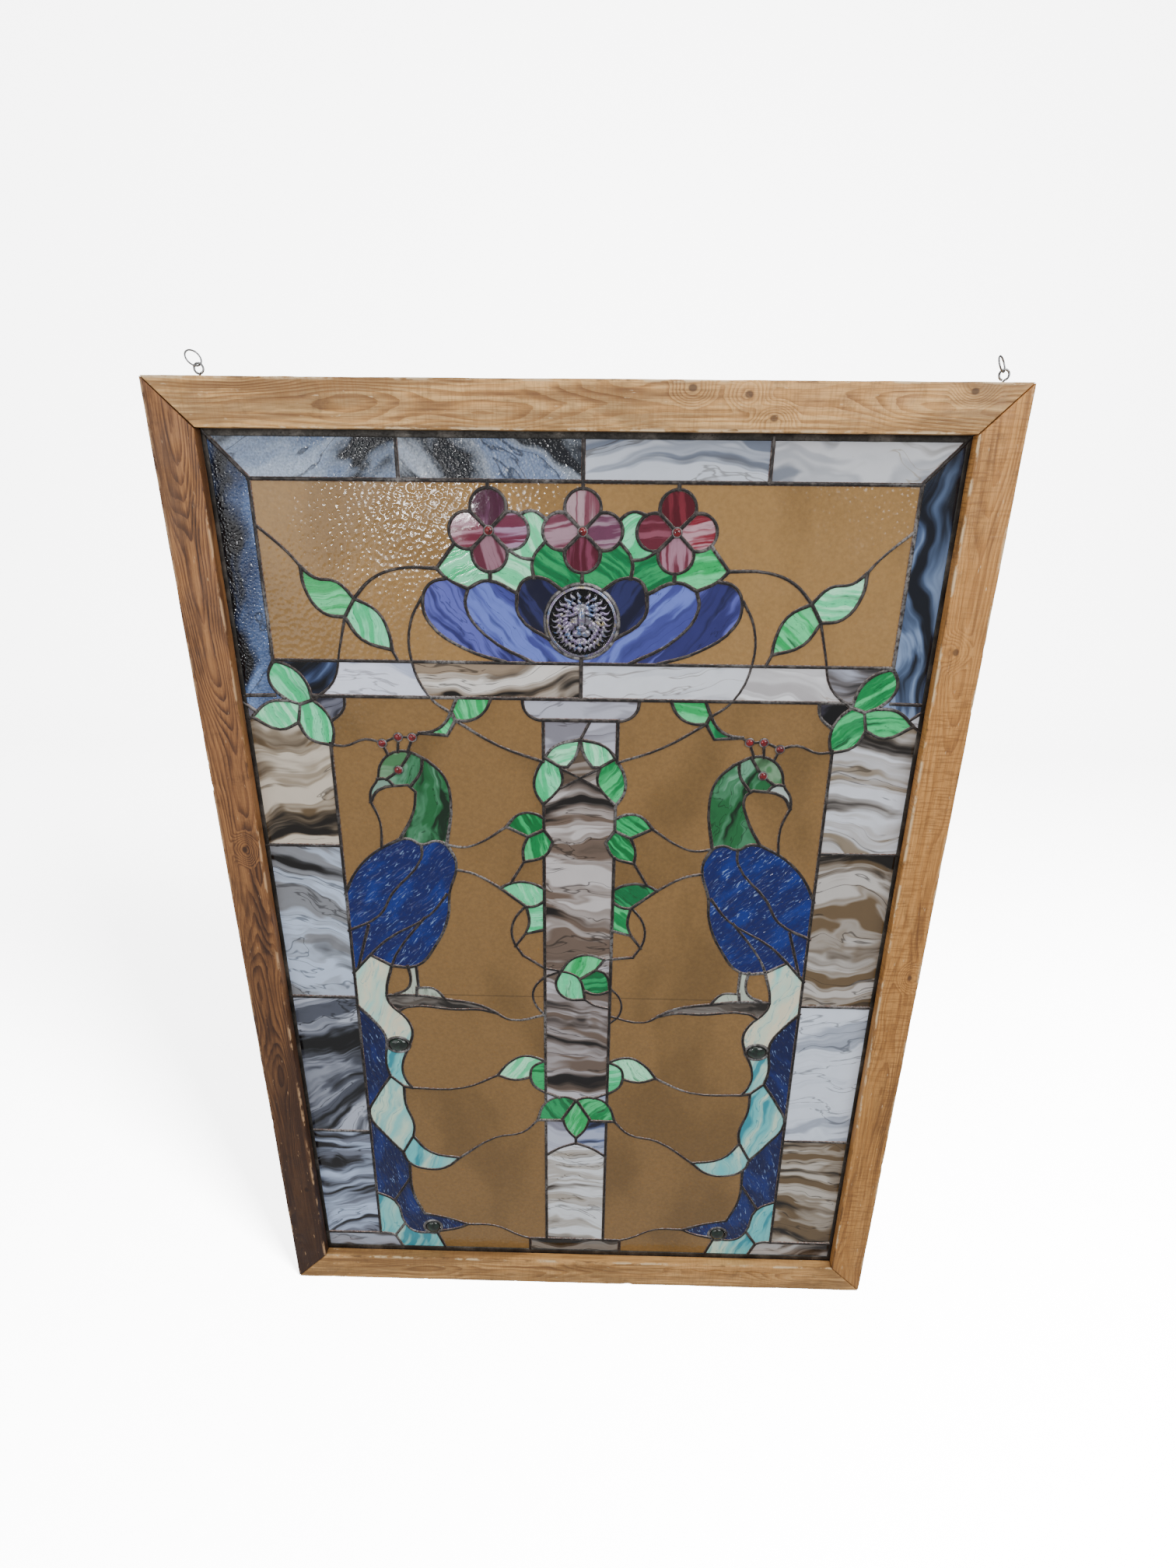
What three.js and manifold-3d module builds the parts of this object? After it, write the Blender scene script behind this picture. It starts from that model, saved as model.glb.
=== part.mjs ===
// Stained glass window with two peacocks, in a mitred board frame with two screw eyes on top.
// Millimetres, +Z up, front towards -Y. The origin is the hanging line: on the centreline, level with the
// top of the two loops. In the shapes x runs from the centreline, y back from the frame's face and z up
// from the foot of the frame.
import * as THREE from "three";
import { mergeVertices } from "three/addons/utils/BufferGeometryUtils.js";
import Module from "manifold-3d";

const wasm = await Module();
wasm.setup();

// Driving sizes.
const FRAME_WIDTH = 1000;
const FRAME_HEIGHT = 1440;
const BOARD_WIDTH = 54;
const BOARD_DEPTH = 44;
const MITRE_GAP = 0.25; // each board stops this far short of the mitre line
const REBATE_WIDTH = 8; // cut from the back of each board, for the panel
const REBATE_FRONT = 16.8; // depth of the lip in front of the panel

const GLASS_FRONT = 19; // frame face to glass face
const GLASS_THICKNESS = 3;
const SOLDER_RISE = 1.8; // the lines stand this proud of each glass face
const CAME_SIGHT = 4; // zinc came seen inside the frame
const CAME_WIDTH = 10;
const CAME_END_SIGHT = 7; // the same at the top and at the foot

const GAP = 0.3; // between pieces that touch
const WIDE = 5; // straight lines
const FOIL = 4; // outlines of cut pieces
const VINE = 3.4; // stems and feather lines
const TUCK = 1.2; // glass reaches this far behind the edge of a line
const LONGEST_TUCK = 1.9; // the same at a sharp corner
const END_REACH = 0.3; // share of its width that a line reaches past its end
const STRAIGHTEN = 1; // bends smaller than this are left out of an outline
const SMALLEST_LIGHT = 14; // square millimetres; smaller openings between lines are full of solder
const LEAN = 0.0045; // the artwork leans to the left towards its foot
const LEAN_FROM = 1300;

const MEDALLION_Z = 1168.5;
const MEDALLION_RADIUS = 43;
const MEDALLION_SIDES = 14;
const RING_WIDTH = 6;
const PETAL_RADIUS = 22;
const PETAL_OFFSET = 26.5;
const FLOWER_Z = 1277;
const FLOWER_SPACING = 114;
const OVAL_RADIUS = [16, 12];
const OVAL_AT = [-282, 503.5];
const NUGGET_RADIUS = [13, 13];
const NUGGET_SIDES = 8;
const NUGGET_AT = [-250, 108];
const JEWEL_RIM = 6.5;
const RING_LIP = 3; // edge of the medallion behind its solder ring
const FOIL_LIP = 1.6; // edge of an oval or nugget behind its solder ring

const EYE_X = [-440, 472];
const EYE_RADIUS = 5.4;
const EYE_WIRE = 1.25;
const EYE_STEM = 4;
const LOOP_RADIUS = 8.5;
const LOOP_WIRE = 1;
const LOOP_LEAN = 0.42; // from upright, towards the left
const LOOP_TURN = -0.7; // about its own upright line, from square to the frame

const sightX = FRAME_WIDTH / 2 - BOARD_WIDTH;
const fieldX = sightX - CAME_SIGHT;
const fieldLow = BOARD_WIDTH + CAME_END_SIGHT;
const fieldTop = FRAME_HEIGHT - BOARD_WIDTH - CAME_END_SIGHT;
const glassBack = GLASS_FRONT + GLASS_THICKNESS;
const lineFront = GLASS_FRONT - SOLDER_RISE;
const lineBack = glassBack + SOLDER_RISE;
const columnX = 49.5;
const eyeZ = FRAME_HEIGHT + EYE_STEM + EYE_RADIUS;
const loopReach = EYE_RADIUS - EYE_WIRE - LOOP_WIRE - GAP + 2 * LOOP_RADIUS;
const hangZ = eyeZ + (loopReach - LOOP_WIRE) * Math.cos(LOOP_LEAN);

// Materials.
function paint(color, roughness, metalness = 0, opacity = 1) {
  return new THREE.MeshStandardMaterial({
    color,
    roughness,
    metalness,
    opacity,
    transparent: opacity < 1,
  });
}
const darkWood = paint(0x6b4a30, 0.8);
const goldWood = paint(0xb98a55, 0.75);
const solderGrey = paint(0x3b3836, 0.45, 0.8);
const steel = paint(0x8d8f90, 0.35, 1);
const amber = paint(0x94703f, 0.25);
const opal = paint(0xb9b9bd, 0.3);
const leafGreen = paint(0x5fb98a, 0.3);
const petalPink = paint(0x9a5c68, 0.3);
const bowlBlue = paint(0x5f72b8, 0.3);
const neckGreen = paint(0x6f9f72, 0.3);
const bodyBlue = paint(0x14285c, 0.25);
const tailCream = paint(0xb9d4cd, 0.3);
const branchGrey = paint(0x6f6d68, 0.35);
const blackGlass = paint(0x0b1712, 0.15);
const lustreGlass = paint(0x2b2440, 0.2, 0.5);

// Solids.
function toSolid(geometry) {
  const bare = geometry.clone();
  bare.deleteAttribute("normal");
  bare.deleteAttribute("uv");
  const merged = mergeVertices(bare, 1e-4);
  return new wasm.Manifold(
    new wasm.Mesh({
      numProp: 3,
      vertProperties: merged.attributes.position.array,
      triVerts: new Uint32Array(merged.index.array),
    }),
  );
}

function toGeometry(solid) {
  const mesh = solid.getMesh();
  const geometry = new THREE.BufferGeometry();
  geometry.setAttribute("position", new THREE.BufferAttribute(mesh.vertProperties, 3));
  geometry.setIndex(new THREE.BufferAttribute(mesh.triVerts, 1));
  geometry.computeVertexNormals();
  return geometry;
}

function joined(solids) {
  return solids.reduce((sum, solid) => sum.add(solid));
}

// Joins neighbours in pairs, which is far quicker than one after another.
function joinedInPairs(solids) {
  let round = solids;
  while (round.length > 1) {
    const next = [];
    for (let i = 0; i < round.length; i += 2) next.push(joined(round.slice(i, i + 2)));
    round = next;
  }
  return round[0];
}

// A flat outline in x and z as a plate from depth `front` to depth `back`.
function plate(shape, front, back) {
  const geometry = new THREE.ExtrudeGeometry(shape, { depth: back - front, bevelEnabled: false });
  geometry.rotateX(Math.PI / 2);
  geometry.translate(0, back, 0);
  return geometry;
}

function outline(points) {
  return new THREE.Shape(points.map(([x, z]) => new THREE.Vector2(x, z)));
}

function rectangle(halfWidth, low, top) {
  return outline([[-halfWidth, low], [halfWidth, low], [halfWidth, top], [-halfWidth, top]]);
}

// Lines. A line is a list of [x, z] stations with a width.
function mirrored(points) {
  return points.map(([x, z]) => [-x, z]);
}

function leaned([x, z]) {
  return [x - LEAN * (LEAN_FROM - z), z];
}

// Circular arc from p to q that stands `rise` off the chord, to the left of the way from p to q.
function bow([px, pz], [qx, qz], rise, steps = 3) {
  const dx = qx - px;
  const dz = qz - pz;
  const chord = Math.hypot(dx, dz);
  const half = 2 * Math.atan((2 * rise) / chord);
  const radius = chord / (2 * Math.sin(half));
  const points = [];
  for (let i = 0; i <= steps; i++) {
    const turn = half * ((2 * i) / steps - 1);
    const along = (radius * Math.sin(turn)) / chord + 0.5;
    const off = (radius * (Math.cos(turn) - Math.cos(half))) / chord;
    points.push([px + dx * along - dz * off, pz + dz * along + dx * off]);
  }
  return points;
}

function oval([cx, cz], rx, rz, steps) {
  const points = [];
  for (let i = 0; i < steps; i++) {
    const turn = ((i + 0.5) / steps) * 2 * Math.PI;
    points.push([cx + rx * Math.cos(turn), cz + rz * Math.sin(turn)]);
  }
  return points;
}

// Outline of a ribbon of one width along an open line, with mitred bends. Its ends reach a little past the
// first and last station, so that lines that meet there overlap.
function ribbon(points, width) {
  const near = [];
  const far = [];
  points.forEach(([x, z], i) => {
    const [ax, az] = points[Math.max(i - 1, 0)];
    const [bx, bz] = points[Math.min(i + 1, points.length - 1)];
    const before = new THREE.Vector2(x - ax, z - az).normalize();
    const after = new THREE.Vector2(bx - x, bz - z).normalize();
    if (i === 0) before.copy(after);
    if (i === points.length - 1) after.copy(before);
    const along = before.clone().add(after).normalize();
    const reach = width / 2 / Math.max(along.dot(before), 0.6);
    const past = END_REACH * width * (Number(i === points.length - 1) - Number(i === 0));
    const atX = x + along.x * past;
    const atZ = z + along.y * past;
    near.push([atX + along.y * reach, atZ - along.x * reach]);
    far.unshift([atX - along.y * reach, atZ + along.x * reach]);
  });
  return outline([...near, ...far]);
}

// Closed ring outline of one width round an oval.
function ringOutline(centre, rx, rz, width, steps) {
  const shape = outline(oval(centre, rx + width / 2, rz + width / 2, steps));
  const hole = oval(centre, rx - width / 2, rz - width / 2, steps);
  shape.holes.push(new THREE.Path(hole.map(([x, z]) => new THREE.Vector2(x, z))));
  return shape;
}

// The artwork. `cut` lines part two glasses.
// `over` lines run over panes of one glass that are one solid here.
const cut = [];
const over = [];

function line(list, width, ...points) {
  list.push({ points: points.map(leaned), width });
}

function pair(list, width, ...points) {
  line(list, width, ...points);
  line(list, width, ...mirrored(points));
}

function drawBorder() {
  line(cut, WIDE, [-400, 1333], [400, 1333]);
  pair(over, WIDE, [-446, 1384], [-399, 1334]);
  pair(cut, WIDE, [-399, 1333], [-399, 1112]);
  line(cut, WIDE, [-399, 1115], [399, 1115]);
  pair(cut, WIDE, [-77, 1068], [-311, 1068]);
  pair(over, WIDE, [-311, 1068], [-352, 1068]);
  line(over, WIDE, [-77, 1068], [77, 1068]);
  pair(cut, WIDE, [-336, 1003], [-344, 91]);
  for (const x of [-220, 0, 220]) line(over, WIDE, [x, 1382], [x, 1333]);
  for (const [z, inner] of [[850, -337], [592, -339.5], [324, -342]]) {
    pair(over, WIDE, [-448, z], [inner, z]);
  }
  line(over, WIDE, [0, 1115], [0, 1068]);
  pair(cut, FOIL, [-311, 1068], [-314, 1050], [-331, 1034]);
  pair(over, WIDE, [-448, 91], [-344, 91]);
  pair(cut, WIDE, [-344, 91], [-318, 86]);
  pair(cut, WIDE, [-318, 86], [-306, 58]);
}

function drawColumn() {
  pair(cut, FOIL, [-77, 1068], [-73, 1051], [-columnX, 1039.5]);
  line(over, FOIL, [-columnX, 1039.5], [columnX, 1039.5]);
  for (const [top, low] of [[1040, 986], [920, 880], [839, 396], [357, 87]]) {
    pair(cut, WIDE, [-columnX, top], [-columnX, low]);
  }
  line(cut, WIDE, [-79, 87], [79, 87]);
  pair(cut, WIDE, [-79, 87], [-79, 58]);
  // Wreath of four leaves and the point under it.
  pair(cut, FOIL, [-48, 987], [-34, 1003], [0, 1013]);
  pair(over, FOIL, [-48, 987], [-27, 974]);
  pair(cut, FOIL, [-27, 974], [-17, 974], [0, 1013]);
  pair(cut, FOIL, [-48, 987], [-61, 960], [-61, 938], [-50, 919]);
  pair(cut, FOIL, [-27, 974], [-24, 952], [-50, 919]);
  // Vine leaves, upper pair.
  pair(cut, FOIL, [-102, 884], [-84, 903], [-columnX, 898]);
  pair(cut, FOIL, [-102, 884], [-72, 869]);
  pair(over, FOIL, [-72, 869], [-columnX, 880]);
  pair(cut, FOIL, [-72, 869], [-78, 830]);
  pair(cut, FOIL, [-columnX, 880], [-37, 862], [-48, 840], [-78, 830]);
  // Second pair.
  pair(cut, FOIL, [-113, 787], [-94, 796], [-columnX, 787]);
  pair(cut, FOIL, [-113, 787], [-76, 757]);
  pair(over, FOIL, [-76, 757], [-columnX, 767]);
  pair(cut, FOIL, [-76, 757], [-72, 730], [-78, 711], [-columnX, 719]);
  // Three leaves half way up, which stand off the centreline.
  line(cut, FOIL, ...bow([-25, 647], [11, 597], -25, 4));
  line(over, FOIL, [-25, 647], [3, 633], [9, 613]);
  line(cut, FOIL, [9, 613], [11, 597]);
  line(cut, FOIL, ...bow([-25, 647], [40, 669], 17));
  line(over, FOIL, [3, 633], [27, 650]);
  line(cut, FOIL, [40, 669], [27, 650], [41, 644], [columnX, 613]);
  line(cut, FOIL, [9, 613], [28, 606], [columnX, 613]);
  line(over, VINE, [11, 597], [columnX, 581]);
  line(over, VINE, [-columnX, 652], [-25, 647], [-columnX, 637]);
  // Low pair.
  pair(cut, FOIL, [-126, 448], [-106, 474], [-82, 487], [-columnX, 478]);
  pair(cut, FOIL, [-126, 448], [-100, 439], [-74, 445]);
  pair(over, FOIL, [-columnX, 478], [-70, 465], [-74, 445]);
  pair(cut, FOIL, [-74, 445], [-68, 428], [-columnX, 414]);
  // Three leaves low down.
  pair(cut, FOIL, [0, 400], [-20, 406], [-48, 395], [-63, 357]);
  pair(cut, FOIL, [-63, 357], [-22, 357]);
  pair(over, FOIL, [0, 400], [-22, 361]);
  pair(cut, FOIL, [-22, 361], [0, 320]);
  pair(over, VINE, [-columnX, 415], [-28, 405]);
  line(over, FOIL, [0, 322], [0, 308]);
  pair(over, FOIL, [0, 309], [-columnX, 281]);
}

function drawTopVine() {
  pair(over, VINE, [-399, 1281], [-349, 1232]);
  pair(cut, FOIL, [-349, 1232], [-333, 1219], [-306, 1214], [-286, 1194]);
  pair(cut, FOIL, [-349, 1232], [-347, 1206], [-327, 1176], [-300, 1171]);
  pair(over, FOIL, [-286, 1194], [-300, 1171]);
  pair(cut, FOIL, [-286, 1194], [-258, 1178], [-243, 1130]);
  pair(cut, FOIL, [-300, 1171], [-281, 1143], [-243, 1130]);
  pair(over, FOIL, [-286, 1194], [-262, 1218], [-228, 1231], [-180, 1232]);
  pair(over, VINE, [-300, 1171], [-323, 1088], [-353, 1062]);
  pair(over, VINE, [-201, 1196], [-217, 1165], [-219, 1117], [-198, 1068], [-171, 1047]);
  // Leaves under the lintel.
  pair(cut, FOIL, [-163, 1068], [-171, 1049]);
  pair(over, FOIL, [-171, 1049], [-166, 1037]);
  pair(cut, FOIL, ...bow([-166, 1037], [-118, 1068], -12));
  pair(cut, FOIL, ...bow([-171, 1049], [-215, 1019], 9, 2));
  pair(cut, FOIL, [-166, 1037], [-178, 1016], [-215, 1019]);
  pair(over, VINE, [-166, 1037], [-110, 1003], [-columnX, 981]);
  // Three leaves over the corner of the border.
  pair(cut, FOIL, [-386, 1061], [-404, 1078], [-408, 1095], [-399, 1114]);
  pair(cut, FOIL, ...bow([-354, 1062], [-399, 1114], -13));
  pair(cut, FOIL, [-386, 1061], [-413, 1058], [-437, 1038]);
  pair(cut, FOIL, [-376, 1031], [-402, 1021], [-437, 1038]);
  pair(cut, FOIL, ...bow([-354, 1062], [-334, 1000], 12));
  pair(cut, FOIL, [-376, 1031], [-364, 1009], [-334, 1000]);
  pair(over, FOIL, [-386, 1061], [-371, 1056], [-376, 1031]);
  pair(over, FOIL, [-371, 1056], [-354, 1062]);
  pair(over, VINE, [-334, 1001], [-288, 1009], [-215, 1019]);
}

function drawFlowers() {
  const crossing = PETAL_OFFSET / Math.SQRT2;
  const corner = crossing + Math.sqrt(PETAL_RADIUS ** 2 - crossing ** 2);
  const tip = corner / Math.SQRT2;
  const start = Math.atan2(tip - PETAL_OFFSET, tip);
  for (const x of [-FLOWER_SPACING, 0, FLOWER_SPACING]) {
    for (let petal = 0; petal < 4; petal++) {
      const facing = petal * (Math.PI / 2);
      const points = [];
      for (let i = 0; i <= 4; i++) {
        const turn = start + (Math.PI - 2 * start) * (i / 4);
        const side = PETAL_RADIUS * Math.cos(turn);
        const out = PETAL_OFFSET + PETAL_RADIUS * Math.sin(turn);
        points.push([
          x + side * Math.cos(facing) - out * Math.sin(facing),
          FLOWER_Z + side * Math.sin(facing) + out * Math.cos(facing),
        ]);
      }
      line(cut, FOIL, ...points);
      line(over, FOIL, [x, FLOWER_Z], points[0]);
    }
    line(over, WIDE, [x, FLOWER_Z + PETAL_OFFSET + PETAL_RADIUS], [x, 1333]);
    line(over, FOIL, [x, FLOWER_Z - PETAL_OFFSET - PETAL_RADIUS], [x, 1218]);
  }
  // Leaves between the flowers and the bowl.
  pair(cut, FOIL, [-180, 1232], [-157, 1261]);
  pair(over, FOIL, [-60, 1222], [-61, 1244], [-45, 1265]);
  pair(over, FOIL, [-61, 1244], [-92, 1256]);
  pair(cut, FOIL, [-76, 1296], [-60, 1300], [-44, 1290]);
}

function drawBowl() {
  pair(cut, FOIL, [-142, 1208], [-168, 1220], [-180, 1232]);
  pair(cut, FOIL, [-168, 1220], [-190, 1213], [-200, 1190], [-192, 1164], [-150, 1133], [-98, 1116]);
  pair(over, FOIL, [-142, 1208], [-146, 1186], [-122, 1150], [-62, 1116]);
  pair(cut, FOIL, [-142, 1208], [-118, 1218], [-81, 1203]);
  pair(over, FOIL, [-81, 1203], [-79, 1175], [-40, 1146]);
  pair(cut, FOIL, [-81, 1203], [-72, 1219], [-50, 1222], [-25, 1207]);
  line(cut, FOIL, [0, 1114], [0, 1124]);
}

function drawPeacock() {
  // Head and neck.
  pair(cut, FOIL, [-289, 918], [-277, 952], [-258, 988], [-236, 993], [-207, 980]);
  pair(cut, FOIL, [-207, 980], [-186, 958], [-178, 922], [-187, 855]);
  pair(cut, FOIL, [-289, 918], [-277, 936], [-236, 944], [-226, 934], [-231, 904], [-253, 862]);
  pair(over, VINE, [-289, 918], [-279, 888], [-280, 848]);
  // Body.
  pair(cut, FOIL, [-253, 862], [-223, 854], [-202, 860], [-187, 855]);
  pair(cut, FOIL, [-187, 855], [-175, 826], [-191, 738], [-213, 687], [-244, 651], [-281, 651]);
  pair(cut, FOIL, [-253, 862], [-290, 841], [-320, 810], [-339, 773]);
  pair(cut, FOIL, [-340, 637], [-312, 669], [-281, 651]);
  pair(over, VINE, [-223, 854], [-225, 832], [-292, 738], [-340, 711]);
  pair(over, VINE, [-191, 775], [-218, 740], [-284, 697], [-312, 669]);
  // Leg, foot and branch.
  pair(over, FOIL, [-257, 651], [-260, 610], [-279, 600]);
  pair(cut, FOIL, [-244, 651], [-243, 612], [-220, 611], [-203, 592]);
  pair(cut, FOIL, [-276, 568], [-262, 576], [-124, 568]);
  pair(cut, FOIL, [-203, 592], [-150, 582], [-124, 568]);
  pair(over, VINE, [-124, 568], [-103, 556], [-columnX, 567]);
}

function drawTail() {
  const [ovalX, ovalZ] = OVAL_AT;
  pair(cut, FOIL, [-281, 651], [-293, 600], [-290, 583], [-265, 553], [-258, 530], [-264, 504]);
  pair(cut, FOIL, [-264, 504], [-279, 460], [-265, 418]);
  pair(cut, FOIL, [-341, 578], [-317, 549], [-302, 523], [ovalX - OVAL_RADIUS[0] - 2, ovalZ]);
  pair(cut, FOIL, [-300, 504], [-299, 441]);
  pair(over, FOIL, [-299, 441], [-279, 421]);
  pair(cut, FOIL, [-279, 421], [-265, 418]);
  pair(cut, FOIL, [-299, 441], [-340, 361], [-290, 280]);
  pair(cut, FOIL, [-279, 421], [-271, 316]);
  pair(over, FOIL, [-271, 316], [-290, 280]);
  pair(cut, FOIL, [-271, 316], [-244, 282], [-195, 271]);
  pair(cut, FOIL, [-195, 271], [-222, 248], [-252, 244], [-281, 257], [-290, 280]);
  pair(cut, FOIL, [-281, 257], [-280, 190], [-263, 140], [-188, 117]);
  pair(cut, FOIL, [-188, 117], [-238, 99]);
  pair(over, VINE, [-281, 226], [-313, 170]);
  pair(cut, FOIL, [-343, 187], [-313, 168], [-298, 113], [-282, 96], [-250, 93]);
  pair(over, FOIL, [-300, 114], [-318, 86]);
  pair(cut, FOIL, [-244, 97], [-230, 58]);
}

function drawVines() {
  pair(over, VINE, [-187, 855], [-145, 856], [-102, 884]);
  pair(over, VINE, [-78, 830], [-98, 795]);
  pair(over, VINE, [-175, 815], [-113, 787]);
  pair(over, VINE, [-78, 757], [-95, 732], [-97, 703], [-82, 674]);
  line(over, VINE, [-82, 674], [-columnX, 652]);
  line(over, VINE, [82, 674], [columnX, 670]);
  line(over, VINE, [-columnX, 637], [-66, 615], [-66, 590], [-columnX, 566]);
  line(over, VINE, [columnX, 618], [65, 598], [65, 570], [columnX, 553]);
  pair(over, VINE, [-265, 418], [-184, 420], [-126, 448]);
  pair(over, VINE, [-63, 357], [-88, 330], [-134, 317], [-195, 271]);
  pair(over, VINE, [-188, 117], [-140, 115], [-79, 87]);
}

drawBorder();
drawColumn();
drawTopVine();
drawFlowers();
drawBowl();
drawPeacock();
drawTail();
drawVines();

// Rims of solder round the set-in pieces, by the radius of their middle line,
// and solid bosses under the jewels.
function rimOf([x, z], radius, width, steps) {
  return { at: leaned([x, z]), radius: radius.map((r) => r + width / 2), width, steps };
}
const rims = [rimOf([0, MEDALLION_Z], [MEDALLION_RADIUS, MEDALLION_RADIUS], RING_WIDTH, MEDALLION_SIDES)];
for (const side of [1, -1]) {
  rims.push(rimOf([OVAL_AT[0] * side, OVAL_AT[1]], OVAL_RADIUS, FOIL, NUGGET_SIDES));
  rims.push(rimOf([NUGGET_AT[0] * side, NUGGET_AT[1]], NUGGET_RADIUS, FOIL, NUGGET_SIDES));
}
const bosses = [-FLOWER_SPACING, 0, FLOWER_SPACING].map((x) => leaned([x, FLOWER_Z]));

// Corners of the front face of a flat plate, as closed loops with the outer loop first.
function faceLoops(solid, front) {
  const geometry = toGeometry(solid);
  const place = geometry.attributes.position;
  const index = geometry.index;
  const edges = new Map();
  for (let i = 0; i < index.count; i += 3) {
    const corners = [0, 1, 2].map((k) => index.getX(i + k));
    if (corners.some((corner) => Math.abs(place.getY(corner) - front) > 0.01)) continue;
    corners.forEach((corner, k) => {
      const next = corners[(k + 1) % 3];
      if (!edges.delete(`${next} ${corner}`)) edges.set(`${corner} ${next}`, [corner, next]);
    });
  }
  const following = new Map(edges.values());
  const loops = [];
  while (following.size > 0) {
    const loop = [];
    let corner = following.keys().next().value;
    while (following.has(corner)) {
      loop.push([place.getX(corner), place.getZ(corner)]);
      const next = following.get(corner);
      following.delete(corner);
      corner = next;
    }
    loops.push(loop);
  }
  return loops.sort((one, other) => area(other) - area(one));
}

function area(loop) {
  return Math.abs(THREE.ShapeUtils.area(loop.map(([x, z]) => new THREE.Vector2(x, z))));
}

// The loop without the corners that stand off the line between their neighbours by less than `least`.
function straightened(loop, least) {
  const kept = [...loop];
  while (kept.length > 3) {
    const offs = kept.map(([x, z], i) => {
      const [ax, az] = kept.at(i - 1);
      const [bx, bz] = kept[(i + 1) % kept.length];
      const chord = Math.hypot(bx - ax, bz - az);
      return Math.abs((bx - ax) * (z - az) - (bz - az) * (x - ax)) / Math.max(chord, 0.01);
    });
    const smallest = Math.min(...offs);
    if (smallest > least) break;
    kept.splice(offs.indexOf(smallest), 1);
  }
  return kept;
}

// The loop moved outwards by `by`; a hole loop, which runs the other way, closes in by as much.
function widened(loop, by, outwards) {
  const turn = Math.sign(THREE.ShapeUtils.area(loop.map(([x, z]) => new THREE.Vector2(x, z)))) * outwards;
  return loop.map(([x, z], i) => {
    const [ax, az] = loop.at(i - 1);
    const [bx, bz] = loop[(i + 1) % loop.length];
    const before = new THREE.Vector2(x - ax, z - az).normalize();
    const after = new THREE.Vector2(bx - x, bz - z).normalize();
    const out = new THREE.Vector2(before.y + after.y, -before.x - after.x).normalize();
    const share = Math.max(out.x * before.y - out.y * before.x, 0.01);
    const reach = Math.min(by / share, LONGEST_TUCK) * turn;
    return [x + out.x * reach, z + out.y * reach];
  });
}

function shapeOf([outer, ...holes]) {
  const shape = outline(outer);
  for (const hole of holes) {
    shape.holes.push(new THREE.Path(hole.map(([x, z]) => new THREE.Vector2(x, z))));
  }
  return shape;
}

// The field inside the came, parted by the given lines, with the outline of each light.
function lights(lines) {
  const field = toSolid(plate(rectangle(fieldX, fieldLow, fieldTop), 0, 1));
  const shapes = lines.map(({ points, width }) => ribbon(points, width));
  for (const { at, radius, width, steps } of rims) {
    shapes.push(ringOutline(at, radius[0], radius[1], width, steps));
  }
  const parting = joinedInPairs(shapes.map((shape) => toSolid(plate(shape, -1, 2))));
  return field.subtract(parting).decompose().map((light) => {
    return faceLoops(light, 0).map((loop) => straightened(loop, STRAIGHTEN));
  });
}

// The came round the panel, with the net of solder lines in front of the glass.
function cameAndSolder() {
  const netBack = GLASS_FRONT - GAP;
  const cameX = fieldX + CAME_WIDTH;
  const cameLow = fieldLow - CAME_WIDTH;
  const cameTop = fieldTop + CAME_WIDTH;
  const blank = toSolid(plate(rectangle(cameX, cameLow, cameTop), lineFront, lineBack));
  const behind = toSolid(plate(rectangle(fieldX, fieldLow, fieldTop), netBack, lineBack + 1));
  const openings = lights([...cut, ...over])
    .filter(([outer]) => area(outer) > SMALLEST_LIGHT)
    .map((loops) => toSolid(plate(shapeOf(loops), lineFront - 1, netBack + 1)));
  const rounds = rims.map(({ at, radius, width, steps }) => {
    const shape = outline(oval(at, radius[0] - width / 2, radius[1] - width / 2, steps));
    return toSolid(plate(shape, lineFront - 1, netBack + 1));
  });
  const boss = (at) => toSolid(plate(outline(oval(at, JEWEL_RIM, JEWEL_RIM, 6)), lineFront, netBack));
  return blank.subtract(joinedInPairs([behind, ...openings, ...rounds])).add(joinedInPairs(bosses.map(boss)));
}

// Each glass solid: its name, a place on it, and its material.
const glasses = [
  ["glass_border", [-421, 1200], opal],
  ["glass_lintel_and_capital", [-150, 1092], opal],
  ["glass_column_upper", [10, 800], opal],
  ["glass_column_lower", [10, 200], opal],
  ["glass_base_block", [20, 73], branchGrey],
  ["glass_amber_top", [-330, 1300], amber],
  ["glass_leaves_below_flowers", [-80, 1225], leafGreen],
  ["glass_leaves_column_middle", [-10, 620], leafGreen],
  ["glass_leaves_column_low", [0, 350], leafGreen],
];
for (const [side, name] of [[1, "left"], [-1, "right"]]) {
  const add = (label, [x, z], material) => {
    glasses.push([`glass_${label}_${name}`, [x * side, z], material]);
  };
  add("amber_lower", [-150, 920], amber);
  add("bowl", [-180, 1190], bowlBlue);
  add("leaves_top_vine", [-325, 1200], leafGreen);
  add("leaves_border_corner", [-385, 1085], leafGreen);
  add("leaves_below_lintel", [-150, 1055], leafGreen);
  add("leaves_wreath", [-50, 955], leafGreen);
  add("leaves_shoulder", [-80, 890], leafGreen);
  add("leaves_breast", [-80, 780], leafGreen);
  add("leaves_low", [-95, 460], leafGreen);
  add("peacock_head", [-200, 920], neckGreen);
  add("peacock_body", [-240, 780], bodyBlue);
  add("leg_and_branch", [-225, 585], branchGrey);
  add("tail_upper", [-315, 600], tailCream);
  add("tail_lower", [-300, 370], tailCream);
  add("tail_foot", [-330, 140], tailCream);
  add("tail_side_upper", [-328, 480], bodyBlue);
  add("tail_side_lower", [-310, 220], bodyBlue);
}
for (const [x, name] of [[-FLOWER_SPACING, "left"], [0, "middle"], [FLOWER_SPACING, "right"]]) {
  glasses.push([`glass_flower_${name}`, [x, FLOWER_Z + PETAL_OFFSET], petalPink]);
}

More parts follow.
